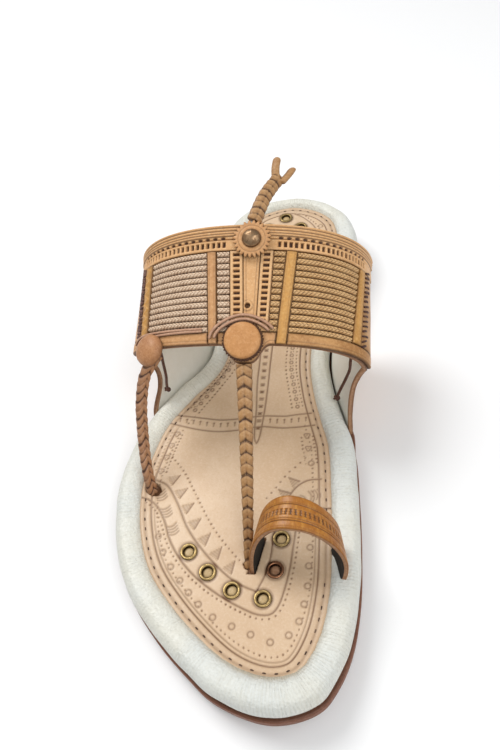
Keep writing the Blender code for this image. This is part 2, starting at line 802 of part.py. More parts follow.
def curve_points(points, count):
    """Evenly spaced points on a smooth curve through a few chosen points."""
    points = [np.array(p, dtype=float) for p in points]
    padded = [2 * points[0] - points[1]] + points + [2 * points[-1] - points[-2]]
    dense = []
    for p0, p1, p2, p3 in zip(padded, padded[1:], padded[2:], padded[3:]):
        for t in np.linspace(0, 1, 16, endpoint=False):
            dense.append(0.5 * (2 * p1 + (p2 - p0) * t + (2 * p0 - 5 * p1 + 4 * p2 - p3) * t ** 2
                                + (3 * p1 - p0 - 3 * p2 + p3) * t ** 3))
    dense.append(points[-1])
    dense = np.array(dense)
    run = np.concatenate([[0], np.cumsum(np.linalg.norm(np.diff(dense, axis=0), axis=1))])
    places = np.linspace(0, run[-1], count)
    return [Vector([float(np.interp(s, run, dense[:, k])) for k in range(3)]) for s in places], run[-1]


BRAID_SIDES = 8
BRAID_WAIST = 0.86


def braid_rings(points, width, thick, side_hint, taper=1.0):
    """An oval braid: it narrows between one crossing of its strands and the next."""
    length = curve_points(points, 2)[1]
    crossings = max(2, round(length / BRAID_PITCH))
    path = curve_points(points, 2 * crossings + 1)[0]
    scales = []
    for i in range(len(path)):
        narrow = 1.0 if i % 2 else BRAID_WAIST
        scales.append(narrow * mix(1.0, taper, i / (len(path) - 1)))
    return oval_frames(path, width, thick, BRAID_SIDES, side_hint, scales)


def deck_point(along, across, height):
    """Point at a height above the insole."""
    y = along_to_y(along)
    return Vector((across * BALL_WIDTH, y, insole_top(y) + height))


def on_deck(rings, height):
    """Cut a tube off level with the deck: drop the rings below it and slide the last one onto it."""
    while min(p.z - height(p.y) for p in rings[-2]) < 0:
        rings.pop()
    ahead = (sum(rings[-1], Vector()) - sum(rings[-2], Vector())).normalized()
    last = []
    for p in rings[-2]:
        run = (height(p.y) - p.z) / ahead.z
        last.append(p + ahead * run)
    return rings[:-1] + [last]


def foot_cutter(name, rings, clearance, material):
    """Cutter for the hole through which a strap goes down."""
    grown = []
    for ring in rings:
        middle = sum(ring, Vector()) / len(ring)
        grown.append([p + (p - middle).normalized() * clearance for p in ring])
    ahead = (sum(rings[-1], Vector()) - sum(rings[-2], Vector())).normalized()
    grown.append([p + ahead * INSOLE_THICK for p in grown[-1]])
    return new_object(name, loft(grown), material, cutter=True)


def strap_floor(y):
    """Height at which the straps end, just above the recess under the insole."""
    return insole_bottom(y) + 0.0001


SLOT_EASE = 0.0005
SIDE_BRAID_AHEAD = 0.0028
CENTRE_FOOT = (0.2485, 0.068)
CENTRE_FOOT_TAPER = 0.72
SIDE_FOOT = (0.3168, -0.361)
# Route of the side braid between the strap and its slot, chosen by hand
SIDE_ROUTE = (
    (-0.0407, -0.0156, 0.0550),
    (-0.0432, -0.0239, 0.0460),
    (-0.0434, -0.0328, 0.0370),
    (-0.0424, -0.0423, 0.0290),
    (-0.0410, -0.0493, 0.0230),
)
TAIL_SPLIT = (0.0196, 0.0590, 0.1026)
TAIL_TIPS = (
    ("name", "dx", "dy", "dz"),
    ("tail_tip_left", -0.0010, 0.0075, 0.0050),
    ("tail_tip_right", 0.0055, 0.0070, -0.0010),
)


def build_braids(insole, material):
    """Centre braid to the toes, side braid down the lateral side, and the split tail at the back."""
    start = band_point(TONGUE_AT, front_edge(TONGUE_AT) - 2 * ACROSS_GAP, -0.0010)
    foot = deck_point(*CENTRE_FOOT, -2 * INSOLE_THICK)
    middle = (start + foot) / 2 + Vector((0.0, -0.002, 0.003))
    rings = braid_rings((start, middle, foot), BRAID_WIDTH, BRAID_THICK, Vector((1, 0, 0)), CENTRE_FOOT_TAPER)
    rings = on_deck(rings, strap_floor)
    new_object("centre_braid", loft(rings), material)
    boolean(insole, foot_cutter("centre_braid_cutter", rings[-4:], SLOT_EASE, material), "DIFFERENCE")

    start = band_point(SIDE_BUTTON_AT[0], -SIDE_BRAID_AHEAD / BAND_WIDTH, -0.0030)
    foot = deck_point(*SIDE_FOOT, -2 * INSOLE_THICK)
    rings = braid_rings((start,) + SIDE_ROUTE + (foot,), BRAID_WIDTH, BRAID_THICK, Vector((0.5, -0.8, 0.3)))
    rings = on_deck(rings, strap_floor)
    new_object("side_braid", loft(rings), material)
    boolean(insole, foot_cutter("side_braid_cutter", rings[-4:], SLOT_EASE, material), "DIFFERENCE")

    start = band_point(0.062, BORDER_EDGE + 4 * ACROSS_GAP, 0.0010)
    split = Vector(TAIL_SPLIT)
    middle = (start + split) / 2 + Vector((-0.0008, 0.0, 0.0012))
    rings = braid_rings((start, middle, split), BRAID_WIDTH, BRAID_THICK, Vector((1, 0, 0)), 0.92)
    body = new_object("tail_braid", loft(rings), material)
    for name, dx, dy, dz in TAIL_TIPS[1:]:
        tip = split + Vector((dx, dy, dz))
        root = split + Vector((0.0012 if dx > 0 else -0.0012, -0.003, -0.001))
        path = curve_points((root, (root + tip) / 2, tip), 4)[0]
        rings = oval_frames(path, 0.0040, 0.0030, 6, Vector((1, 0, 0)), (1.0, 1.0, 0.95, 0.7))
        boolean(body, new_object(name + "_cutter", loft(rings), material, cutter=True), "UNION")


RING_MIDDLE = 0.263
RING_FRONT_ALONG = 0.1860
RING_SKEW = 0.09
RING_LEAN = 0.0075
RING_ROUNDNESS = 2.15
RING_STEPS = 22


def ring_point(angle, share, lift):
    """Point on the toe ring: angle over the arch, share across its strap, lift from its middle face."""
    spread = abs(cos(angle)) ** RING_ROUNDNESS + abs(sin(angle)) ** RING_ROUNDNESS
    radius = spread ** (-1 / RING_ROUNDNESS)
    middle = RING_MIDDLE * BALL_WIDTH
    front = along_to_y(RING_FRONT_ALONG)
    sink = INSOLE_THICK - 0.0002
    base = insole_top(front) - sink
    half = 0.5 * TOE_RING_SPAN + lift
    high = TOE_RING_HIGH + sink - 0.5 * TOE_RING_THICK + lift
    across = radius * cos(angle)
    rise = radius * sin(angle)
    y = front - RING_SKEW * half * across + RING_LEAN * rise + share * TOE_RING_WIDTH
    return Vector((middle + half * across, y, base + high * rise))


def ring_rings(grow=0.0, down=0.0):
    half = 0.5 * TOE_RING_THICK + grow
    shares = (-grow / TOE_RING_WIDTH, 1 + grow / TOE_RING_WIDTH)
    rings = []
    for k in range(RING_STEPS + 1):
        angle = pi * k / RING_STEPS
        ring = [ring_point(angle, shares[0], half), ring_point(angle, shares[1], half),
                ring_point(angle, shares[1], -half), ring_point(angle, shares[0], -half)]
        rings.append(ring)
    if down:
        drop = Vector((0, 0, -down))
        rings.insert(0, [p + drop for p in rings[0]])
        rings.append([p + drop for p in rings[-1]])
    return rings


def build_toe_ring(insole, footbed, material):
    ring = new_object("toe_ring", loft(ring_rings()), material)
    cutter = new_object("toe_ring_cutter", loft(ring_rings(PIECE_GAP + 0.0001, PIECE_GAP)), material, cutter=True)
    boolean(insole, cutter, "DIFFERENCE")
    boolean(footbed, cutter, "DIFFERENCE")
    return ring


def band_axis(turn, across):
    return (band_point(turn, across, 0.002) - band_point(turn, across, -0.002)).normalized()


ROSETTE_AT = (0.055, 0.872)
FRONT_BUTTON_AT = (0.022, 0.020)
SIDE_BUTTON_AT = (-0.487, -0.030)
ROSETTE_TEETH = 22
BUTTON_TEETH = 14


def build_buttons(leather, metal):
    """Toothed rosette with its stud at the back, and the two domed buttons at the front."""
    radius = 0.5 * ROSETTE_WIDTH
    seat = 0.0014
    place = band_point(*ROSETTE_AT, seat)
    axis = band_axis(*ROSETTE_AT)
    turned("rosette", ((radius, 0.0), (radius, 0.0011), (0.78 * radius, 0.0019)),
           2 * ROSETTE_TEETH, place, axis, leather, solid=True, teeth=0.12)
    stud = 0.5 * STUD_WIDTH
    top = 0.0019 + PIECE_GAP
    turned("rosette_stud", ((0.92 * stud, top), (stud, top + 0.0007), (0.80 * stud, top + 0.0018),
                            (0.35 * stud, top + 0.0024)), 12, place, axis, metal, solid=True)
    for name, spot, width, seat, tall in (("front_button", FRONT_BUTTON_AT, BUTTON_WIDTH, 0.0012, 0.0030),
                                          ("side_button", SIDE_BUTTON_AT, SIDE_BUTTON_WIDTH, 0.0005, 0.0052)):
        radius = 0.5 * width
        profile = ((0.95 * radius, 0.0), (radius, 0.25 * tall), (0.86 * radius, 0.68 * tall),
                   (0.50 * radius, tall))
        turned(name, profile, 2 * BUTTON_TEETH, band_point(*spot, seat), band_axis(*spot), leather,
               solid=True, teeth=0.03)


def cord(name, points, width, resolution, material, count):
    """A round thong along a smooth curve, with closed ends."""
    data = bpy.data.curves.new(name, "CURVE")
    data.dimensions = "3D"
    data.bevel_depth = 0.5 * width
    data.bevel_resolution = resolution
    data.use_fill_caps = True
    spline = data.splines.new("POLY")
    path = curve_points(points, count)[0]
    spline.points.add(len(path) - 1)
    for place, point in zip(spline.points, path):
        place.co = (*point, 1.0)
    obj = bpy.data.objects.new(name, data)
    obj.data.materials.append(material)
    bpy.context.scene.collection.objects.link(obj)
    return obj


# Arches of the two thongs round the front button: clearance to its rim, and the angles of the ends
THONG_ARCHES = (
    ("name", "beyond", "lateral_end", "medial_end"),
    ("thong_arch_inner", 0.0016, 74, 58),
    ("thong_arch_outer", 0.0036, 82, 72),
)
THONG_FLARE = 0.0026
RIDGE_TURN_LENGTH = 0.5 * pi * BAND_HALF_SPAN


def build_thongs(material):
    """Two thin thongs side by side in an arch over the front button, their ends flaring out."""
    seat = 0.5 * THONG_WIDTH + 0.0007
    for name, beyond, lateral_end, medial_end in THONG_ARCHES[1:]:
        points = []
        for angle in np.linspace(-radians(lateral_end), radians(medial_end), 9):
            reach = 0.5 * BUTTON_WIDTH + beyond + THONG_FLARE * abs(sin(angle)) ** 4
            turn = FRONT_BUTTON_AT[0] + reach * sin(angle) / RIDGE_TURN_LENGTH
            across = FRONT_BUTTON_AT[1] + reach * cos(angle) / BAND_WIDTH
            points.append(band_point(turn, across, seat))
        cord(name, points, THONG_WIDTH, 1, material, 11)


# Free ends of the thongs, hanging inside the strap: where each comes out under it, as turn and
# across, and a route chosen by hand
THONG_SEATS = {"lateral": (-0.5144, 0.0515), "medial": (0.6925, 0.0549)}
THONG_END_LATERAL = (
    (-0.0353, -0.0038, 0.0555),
    (-0.0360, -0.0040, 0.0480),
    (-0.0368, -0.0042, 0.0390),
    (-0.0380, -0.0042, 0.0330),
    (-0.0386, -0.0040, 0.0293),
)
THONG_END_MEDIAL = (
    (0.0508, -0.0050, 0.0505),
    (0.0503, -0.0050, 0.0445),
    (0.0481, -0.0050, 0.0366),
    (0.0457, -0.0052, 0.0295),
    (0.0443, -0.0055, 0.0250),
)
KNOT_WIDTH = 0.0030


def build_thong_ends(material):
    """The free ends and the knot at the foot of each."""
    for side, route in (("lateral", THONG_END_LATERAL), ("medial", THONG_END_MEDIAL)):
        start = band_point(*THONG_SEATS[side], -(BAND_STACK + PIECE_GAP + 0.5 * THONG_END_WIDTH))
        cord(f"thong_end_{side}", (start,) + route, THONG_END_WIDTH, 1, material, 9)
        low = Vector(route[-1])
        ahead = (low - Vector(route[-2])).normalized()
        radius = 0.5 * KNOT_WIDTH
        profile = [(radius * sin(angle), -radius * cos(angle)) for angle in np.linspace(0.45, pi - 0.45, 4)]
        centre = low + ahead * (radius + PIECE_GAP)
        turned(f"thong_knot_{side}", profile, 8, centre, ahead, material, solid=True)


def centre_on_floor():
    """Move everything so that the whole box is centred on the origin, standing at z = 0."""
    bpy.context.view_layer.update()
    graph = bpy.context.evaluated_depsgraph_get()
    corners = []
    for obj in bpy.data.objects:
        if not obj.hide_render and not obj.name.startswith(("thong_end", "thong_knot")):
            mesh = obj.evaluated_get(graph).to_mesh()
            corners += [v.co.copy() for v in mesh.vertices]
    low = [min(c[k] for c in corners) for k in range(3)]
    high = [max(c[k] for c in corners) for k in range(3)]
    move = Vector((-(low[0] + high[0]) / 2, -(low[1] + high[1]) / 2, -low[2]))
    for obj in bpy.data.objects:
        obj.location = move
    print("moved by", [round(1000 * m, 2) for m in move])


def build():
    for obj in list(bpy.data.objects):
        bpy.data.objects.remove(obj)
    rubber = new_material("brown outsole", (0.17, 0.065, 0.035), 0.55)
    cream = new_material("cream cushion leather", (0.78, 0.76, 0.68), 0.45)
    lining = new_material("cream lining leather", (0.74, 0.70, 0.60), 0.55)
    deck = new_material("tooled insole leather", (0.62, 0.44, 0.30), 0.60)
    tan = new_material("tan strap leather", (0.50, 0.28, 0.13), 0.50)
    woven = new_material("braided leather cord", (0.48, 0.30, 0.18), 0.55)
    golden = new_material("golden brown leather", (0.44, 0.21, 0.07), 0.45)
    dark = new_material("dark thong leather", (0.10, 0.045, 0.03), 0.60)
    brass = new_material("antique brass", (0.45, 0.33, 0.15), 0.35, 1.0)
    build_outsole(rubber)
    footbed = build_footbed(cream)
    insole = build_insole(deck)
    build_eyelets(insole, brass)
    build_upper_band(lining)
    build_front_borders(tan)
    build_woven_panels(woven)
    build_side_panels(tan)
    build_strips(tan)
    build_ladders(tan)
    build_centre_panel(tan)
    build_back_border(tan)
    build_buttons(tan, brass)
    build_thongs(tan)
    build_braids(insole, golden)
    build_toe_ring(insole, footbed, golden)
    build_thong_ends(dark)
    centre_on_floor()


build()
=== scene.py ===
"""Looks of the kolhapuri sandal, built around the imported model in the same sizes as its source.

The working frame is the source's own, in metres: -Y is the toe, +X the medial side and z = 0 the floor.
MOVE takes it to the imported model's frame when a mesh is made.
"""
from math import cos, pi, radians, sin, sqrt

import bpy
import numpy as np
from mathutils import Matrix, Vector


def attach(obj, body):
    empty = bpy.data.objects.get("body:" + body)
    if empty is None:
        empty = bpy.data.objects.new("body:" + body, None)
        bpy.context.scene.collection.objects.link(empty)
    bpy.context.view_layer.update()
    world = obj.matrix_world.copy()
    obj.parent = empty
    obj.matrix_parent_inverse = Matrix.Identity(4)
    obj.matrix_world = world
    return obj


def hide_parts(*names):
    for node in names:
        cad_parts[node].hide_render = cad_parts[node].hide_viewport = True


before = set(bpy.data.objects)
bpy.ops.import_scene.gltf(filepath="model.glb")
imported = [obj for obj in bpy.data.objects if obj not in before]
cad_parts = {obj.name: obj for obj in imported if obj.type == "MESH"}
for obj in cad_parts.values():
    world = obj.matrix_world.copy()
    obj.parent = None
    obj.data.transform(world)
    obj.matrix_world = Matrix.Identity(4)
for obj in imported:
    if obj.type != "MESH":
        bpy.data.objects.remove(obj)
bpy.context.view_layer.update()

MOVE = np.array((-0.00133, 0.00092, 0.0))
MM = 0.001
RANDOM = np.random.default_rng(11)

# Sizes of the sole, as in the part's source
SHOE_LENGTH = 0.2892
BALL_WIDTH = 0.1116
WAIST_WIDTH = 0.0626
HEEL_WIDTH = 0.0782
OUTSOLE_THICK = 0.0060
CUSHION_THICK = 0.0122
INSOLE_THICK = 0.0022
HEEL_LIFT = 0.0055
TOE_SPRING = 0.0060
ARCH_RISE = 0.0040
RIM_WIDTH = 0.0120
RIM_STAND = 0.0025
SOLE_EDGE = 0.0006
GAP = 0.0003

# Sizes of the strap, as in the part's source
WALL_THICK = 0.0022
OVERLAY_THICK = 0.0015
BAND_WIDTH = 0.0560
BAND_HALF_SPAN = 0.0555
BAND_CENTRE = 0.0043
FRONT_RIDGE_HIGH = 0.0714
BACK_RIDGE_HIGH = 0.0960
FRONT_SIDE_HIGH = 0.0450
BACK_SIDE_HIGH = 0.0527
BAND_ROUNDNESS = 2.33
ROW_COUNT = 13
LADDER_SLOTS = 13
BORDER_SLOTS = 20
BORDER_DASHES = 14
BRAID_WIDTH = 0.0072
TOE_RING_SPAN = 0.0352
TOE_RING_HIGH = 0.0320
TOE_RING_WIDTH = 0.0142
TOE_RING_THICK = 0.0026
THONG_WIDTH = 0.0016
THONG_END_WIDTH = 0.0014
ORIGIN_ALONG = 0.5025


def smooth(value):
    value = np.clip(value, 0.0, 1.0)
    return value * value * (3 - 2 * value)


def mix(start, end, share):
    return start + (end - start) * share


def along_to_y(along):
    return (along - ORIGIN_ALONG) * SHOE_LENGTH


def y_to_along(y):
    return y / SHOE_LENGTH + ORIGIN_ALONG


# Camera: the photo's viewpoint, turned to the one shoe
VIEW_POINT = Vector((0.0579, -0.1939, 0.2940))
VIEW_PITCH = 53.96
VIEW_TARGET = Vector((0.0020, 0.0030, 0.0300))
VIEW_LENS = 33.0


def make_camera():
    data = bpy.data.cameras.new("camera")
    data.sensor_fit = "VERTICAL"
    data.sensor_height = 36.0
    data.lens = VIEW_LENS
    data.clip_start = 0.01
    camera = bpy.data.objects.new("camera", data)
    bpy.context.scene.collection.objects.link(camera)
    photo_turn = Matrix.Rotation(radians(90 - VIEW_PITCH), 4, "X")
    ahead = photo_turn.to_quaternion() @ Vector((0, 0, -1))
    to_shoe = (VIEW_TARGET - VIEW_POINT).normalized()
    turn = ahead.rotation_difference(to_shoe).to_matrix().to_4x4()
    camera.matrix_world = Matrix.Translation(VIEW_POINT + Vector(MOVE)) @ turn @ photo_turn
    bpy.context.scene.camera = camera


make_camera()


# Mesh helpers

def grid_faces(rows, columns, wrap_rows=False, wrap_columns=False):
    """Quads of a grid of points numbered row by row."""
    i = np.arange(rows if wrap_rows else rows - 1)
    j = np.arange(columns if wrap_columns else columns - 1)
    i, j = (a.ravel() for a in np.meshgrid(i, j, indexing="ij"))
    over, beside = (i + 1) % rows, (j + 1) % columns
    return np.stack([i * columns + j, over * columns + j, over * columns + beside, i * columns + beside], axis=1)


def make_mesh(name, points, faces, materials, picks=None, layers=None):
    """Object from points in the source's frame; picks holds a material number for each face."""
    mesh = bpy.data.meshes.new(name)
    mesh.from_pydata((np.asarray(points) + MOVE).tolist(), [], [list(map(int, f)) for f in faces])
    for material in materials if isinstance(materials, (list, tuple)) else [materials]:
        mesh.materials.append(material)
    if picks is not None:
        mesh.polygons.foreach_set("material_index", np.asarray(picks, dtype=np.int32))
    for layer, values in (layers or {}).items():
        attribute = mesh.attributes.new(layer, "FLOAT", "POINT")
        attribute.data.foreach_set("value", np.asarray(values, dtype=np.float32).ravel())
    mesh.validate()
    mesh.shade_smooth()
    obj = bpy.data.objects.new(name, mesh)
    bpy.context.scene.collection.objects.link(obj)
    return obj


def settle(obj, slot, *nodes):
    """Every piece rides on the one body and hides the CAD nodes it stands for; its finish name is not used."""
    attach(obj, "root")
    if nodes:
        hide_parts(*nodes)
    return obj


def face_out(obj):
    """Point the faces of a closed mesh outwards."""
    import bmesh
    data = bmesh.new()
    data.from_mesh(obj.data)
    bmesh.ops.recalc_face_normals(data, faces=data.faces)
    data.to_mesh(obj.data)
    data.free()
    return obj


def join_meshes(parts):
    """Points, faces and dark values of several (points, faces, dark) parts as one."""
    points, faces, dark, count = [], [], [], 0
    for part_points, part_faces, part_dark in parts:
        points.append(part_points)
        faces += [[int(k) + count for k in face] for face in part_faces]
        dark.append(np.broadcast_to(part_dark, (len(part_points),)))
        count += len(part_points)
    return np.concatenate(points), faces, np.concatenate(dark)


def smooth_path(points, step):
    """Points about a step apart on a smooth curve through a few chosen points."""
    points = np.asarray(points, dtype=float)
    padded = np.vstack([2 * points[0] - points[1], points, 2 * points[-1] - points[-2]])
    t = np.linspace(0, 1, 24, endpoint=False)[:, None]
    dense = []
    for p0, p1, p2, p3 in zip(padded, padded[1:], padded[2:], padded[3:]):
        dense.append(0.5 * (2 * p1 + (p2 - p0) * t + (2 * p0 - 5 * p1 + 4 * p2 - p3) * t ** 2
                            + (3 * p1 - p0 - 3 * p2 + p3) * t ** 3))
    dense = np.vstack(dense + [points[-1:]])
    run = np.concatenate([[0], np.cumsum(np.linalg.norm(np.diff(dense, axis=0), axis=1))])
    count = max(2, int(round(run[-1] / step)) + 1)
    places = np.linspace(0, run[-1], count)
    return np.stack([np.interp(places, run, dense[:, k]) for k in range(points.shape[1])], axis=1), run[-1]


def tangents(path):
    ahead = np.gradient(path, axis=0)
    return ahead / np.linalg.norm(ahead, axis=1)[:, None]


def frames(path, hint):
    """Tangent, wide and deep directions along a path, the wide one near a hint."""
    ahead = tangents(path)
    hint = np.broadcast_to(np.asarray(hint, dtype=float), path.shape)
    wide = hint - ahead * np.sum(hint * ahead, axis=1)[:, None]
    wide /= np.linalg.norm(wide, axis=1)[:, None]
    return ahead, wide, np.cross(ahead, wide)


def tube_part(path, width, thick, hint, sides=12, dark=0.0, rough=0.0):
    """Closed oval tube along a path; width and thick may change along it."""
    ahead, wide, deep = frames(path, hint)
    width = np.broadcast_to(width, (len(path),))
    thick = np.broadcast_to(thick, (len(path),))
    angle = np.linspace(0, 2 * pi, sides, endpoint=False)
    swell = 1 + rough * RANDOM.normal(size=(len(path), sides))
    ring = (wide[:, None] * (0.5 * width[:, None] * np.cos(angle) * swell)[..., None]
            + deep[:, None] * (0.5 * thick[:, None] * np.sin(angle) * swell)[..., None])
    points = (path[:, None] + ring).reshape(-1, 3)
    faces = list(grid_faces(len(path), sides, wrap_columns=True))
    faces.append(list(range(sides))[::-1])
    last = (len(path) - 1) * sides
    faces.append(list(range(last, last + sides)))
    return points, faces, dark


def wander(x, *octaves):
    """Smooth wavering along x: octaves are (wavelength, size) pairs."""
    total = np.zeros_like(x)
    for length, size in octaves:
        total += size * np.sin(2 * pi * x / length + RANDOM.uniform(0, 2 * pi))
    return total


# Shader helpers

class Shader:
    """A material's node tree, with short calls for the nodes used here."""

    def __init__(self, name, roughness, metallic=0.0, coat=0.0, coat_roughness=0.3, sheen=0.0, specular=0.5):
        self.material = bpy.data.materials.new(name)
        self.material.use_nodes = True
        self.tree = self.material.node_tree
        self.out = self.tree.nodes["Principled BSDF"]
        for socket, value in (("Roughness", roughness), ("Metallic", metallic), ("Coat Weight", coat),
                              ("Coat Roughness", coat_roughness), ("Sheen Weight", sheen),
                              ("Specular IOR Level", specular)):
            self.out.inputs[socket].default_value = value
        self.place = self.tree.nodes.new("ShaderNodeTexCoord").outputs["Object"]

    def link(self, value, socket):
        if isinstance(value, (int, float)):
            socket.default_value = value
        elif isinstance(value, tuple):
            socket.default_value = (*value, 1.0)[:4] if len(socket.default_value) == 4 else value
        else:
            self.tree.links.new(value, socket)

    def stretch(self, scale, turn=(0, 0, 0)):
        node = self.tree.nodes.new("ShaderNodeMapping")
        node.inputs["Scale"].default_value = scale
        node.inputs["Rotation"].default_value = turn
        self.link(self.place, node.inputs["Vector"])
        return node.outputs["Vector"]

    def noise(self, scale, detail=3.0, rough=0.55, place=None, warp=0.0):
        node = self.tree.nodes.new("ShaderNodeTexNoise")
        node.inputs["Scale"].default_value = scale
        node.inputs["Detail"].default_value = detail
        node.inputs["Roughness"].default_value = rough
        node.inputs["Distortion"].default_value = warp
        self.link(place or self.place, node.inputs["Vector"])
        return node.outputs["Fac"]

    def cells(self, scale, feature="F1", place=None):
        node = self.tree.nodes.new("ShaderNodeTexVoronoi")
        node.feature = feature
        node.inputs["Scale"].default_value = scale
        self.link(place or self.place, node.inputs["Vector"])
        return node.outputs["Distance"]

    def layer(self, name):
        node = self.tree.nodes.new("ShaderNodeAttribute")
        node.attribute_name = name
        return node.outputs["Fac"]

    def math(self, kind, a, b=0.0, clamp=False):
        node = self.tree.nodes.new("ShaderNodeMath")
        node.operation = kind
        node.use_clamp = clamp
        self.link(a, node.inputs[0])
        self.link(b, node.inputs[1])
        return node.outputs[0]

    def band(self, value, low, high, to_low=0.0, to_high=1.0):
        node = self.tree.nodes.new("ShaderNodeMapRange")
        node.interpolation_type = "SMOOTHSTEP"
        self.link(value, node.inputs["Value"])
        for socket, number in (("From Min", low), ("From Max", high), ("To Min", to_low), ("To Max", to_high)):
            node.inputs[socket].default_value = number
        return node.outputs["Result"]

    def mix(self, share, a, b, kind="MIX"):
        node = self.tree.nodes.new("ShaderNodeMix")
        node.data_type = "RGBA"
        node.blend_type = kind
        self.link(share, node.inputs[0])
        self.link(a, node.inputs[6])
        self.link(b, node.inputs[7])
        return node.outputs[2]

    def bump(self, height, strength, distance, under=None):
        node = self.tree.nodes.new("ShaderNodeBump")
        node.inputs["Strength"].default_value = strength
        node.inputs["Distance"].default_value = distance
        self.link(height, node.inputs["Height"])
        if under:
            self.link(under, node.inputs["Normal"])
        return node.outputs["Normal"]

    def finish(self, colour, normal=None, roughness=None):
        self.link(colour, self.out.inputs["Base Color"])
        if normal:
            self.link(normal, self.out.inputs["Normal"])
        if roughness is not None:
            self.link(roughness, self.out.inputs["Roughness"])
        return self.material


def leather(name, body, deep, pale, stain_and_shade, roughness=0.5, patches=45.0, patchy=0.5, pores=1500.0, pore_depth=0.00007,
            fibre=2600.0, coat=0.0, stretch=(1, 1, 1), speckle=0.45):
    """Vegetable-tanned leather: cloudy colour and small pores; the `dark` layer darkens pressed marks and also paints
    shade in holes, slots, gaps and under lips; the paler layer paints highlights on crowns and lips and adds paler
    tone.
    """
    s = Shader(name, roughness, coat=coat, specular=0.35)
    place = s.stretch(stretch)
    clouds = s.band(s.noise(patches, 4, 0.6, place), 0.32, 0.70)
    colour = s.mix(s.math("MULTIPLY", clouds, patchy), body, deep)
    blotches = s.band(s.noise(patches * 4.5, 3, 0.6, place), 0.42, 0.66)
    colour = s.mix(s.math("MULTIPLY", blotches, 0.5 * patchy), colour, deep)
    flecks = s.band(s.noise(fibre * 0.35, 5, 0.72, place), 0.46, 0.66)
    colour = s.mix(s.math("MULTIPLY", flecks, speckle), colour, pale)
    spots = s.band(s.noise(fibre * 0.28, 3, 0.7, place), 0.52, 0.70)
    colour = s.mix(s.math("MULTIPLY", spots, 1.5 * speckle), colour, deep)
    # dark layer: pressed marks, and painted shade in holes, slots, gaps and under lips
    colour = s.mix(s.math("MULTIPLY", s.layer("dark"), 1.0, clamp=True), colour, stain_and_shade)
    # paler layer: painted highlight on crowns and lips, and paler tone
    colour = s.mix(s.math("MULTIPLY", s.layer("highlight_and_tone"), 1.0, clamp=True), colour, pale)
    grain = s.bump(s.cells(pores, place=place), 0.55, pore_depth)
    grain = s.bump(s.noise(fibre, 4, 0.65, place), 0.35, pore_depth, grain)
    gloss = s.band(clouds, 0.0, 1.0, roughness - 0.06, roughness + 0.10)
    return s.finish(colour, grain, gloss)


RIM_LAP = 112.0
RIM_WRINKLES = 450.0
WRINKLE_WANDER = 9.0


def pebbled(name, body, shade, cool_reflection, roughness=0.42):
    """Soft white leather over padding, with a rounded pebble grain and fine stretch wrinkles; painted shade darkens the
    pebble creases, the wrinkle valleys and the dark layer, and a painted cool reflection lies in cloudy patches.
    """
    s = Shader(name, roughness, coat=0.12, coat_roughness=0.35, specular=0.4)
    spot = s.tree.nodes.new("ShaderNodeCombineXYZ")
    s.link(s.math("MULTIPLY", s.layer("lap_x"), RIM_LAP), spot.inputs[0])
    s.link(s.math("MULTIPLY", s.layer("lap_y"), RIM_LAP), spot.inputs[1])
    s.link(s.math("MULTIPLY", s.layer("round"), 0.34), spot.inputs[2])
    wander = s.noise(0.30, 2, 0.5, spot.outputs[0])
    turn = s.math("MULTIPLY", s.math("ARCTAN2", s.layer("lap_y"), s.layer("lap_x")), RIM_WRINKLES)
    ridges = s.math("SINE", s.math("ADD", turn, s.math("MULTIPLY", wander, WRINKLE_WANDER)))
    strength = s.band(s.noise(0.12, 2, 0.5, spot.outputs[0]), 0.35, 0.65, 0.25, 1.0)
    wrinkles = s.math("MULTIPLY", ridges, strength)
    cells = s.cells(820.0, "SMOOTH_F1")
    small = s.cells(1500.0, "SMOOTH_F1", s.stretch((1.0, 1.3, 1.0)))
    pebble = s.math("ADD", cells, s.math("MULTIPLY", small, 0.5))
    clouds = s.band(s.noise(28.0, 3, 0.5), 0.35, 0.70)
    # painted cool reflection: bluish patches mixed into the cream
    colour = s.mix(s.math("MULTIPLY", clouds, 0.55), body, cool_reflection)
    creases = s.band(pebble, 0.55, 1.0)
    colour = s.mix(s.math("MULTIPLY", creases, 0.16), colour, shade)
    colour = s.mix(s.math("MULTIPLY", s.band(wrinkles, 0.10, -1.0), 0.17), colour, shade)
    colour = s.mix(s.math("MULTIPLY", s.layer("dark"), 1.0, clamp=True), colour, shade)
    normal = s.bump(wrinkles, 0.5, 0.00015)
    normal = s.bump(s.math("MULTIPLY", pebble, -1.0), 0.6, 0.00055, normal)
    normal = s.bump(s.noise(2400.0, 3, 0.6), 0.25, 0.00006, normal)
    return s.finish(colour, normal, s.band(clouds, 0.0, 1.0, roughness - 0.05, roughness + 0.08))


def metal(name, bright, tarnish, dark, roughness=0.32):
    """Antique brass: rubbed bright on top, brown in the hollows."""
    s = Shader(name, roughness, metallic=1.0)
    age = s.band(s.noise(420.0, 4, 0.65), 0.40, 0.66)
    colour = s.mix(s.math("MULTIPLY", age, 0.7), bright, tarnish)
    colour = s.mix(s.math("MULTIPLY", s.layer("dark"), 1.0, clamp=True), colour, dark)
    normal = s.bump(s.noise(900.0, 4, 0.6), 0.3, 0.00008)
    return s.finish(colour, normal, s.band(age, 0.0, 1.0, roughness - 0.08, roughness + 0.16))


TAN = leather("tan strap leather", (0.620, 0.330, 0.140), (0.440, 0.210, 0.080), (0.740, 0.460, 0.230),
              (0.070, 0.028, 0.012), 0.50, patchy=0.55)
GOLDEN_STRIP = leather("golden strip leather", (0.610, 0.315, 0.085), (0.440, 0.205, 0.050), (0.740, 0.460, 0.165),
                       (0.080, 0.030, 0.010), 0.48)
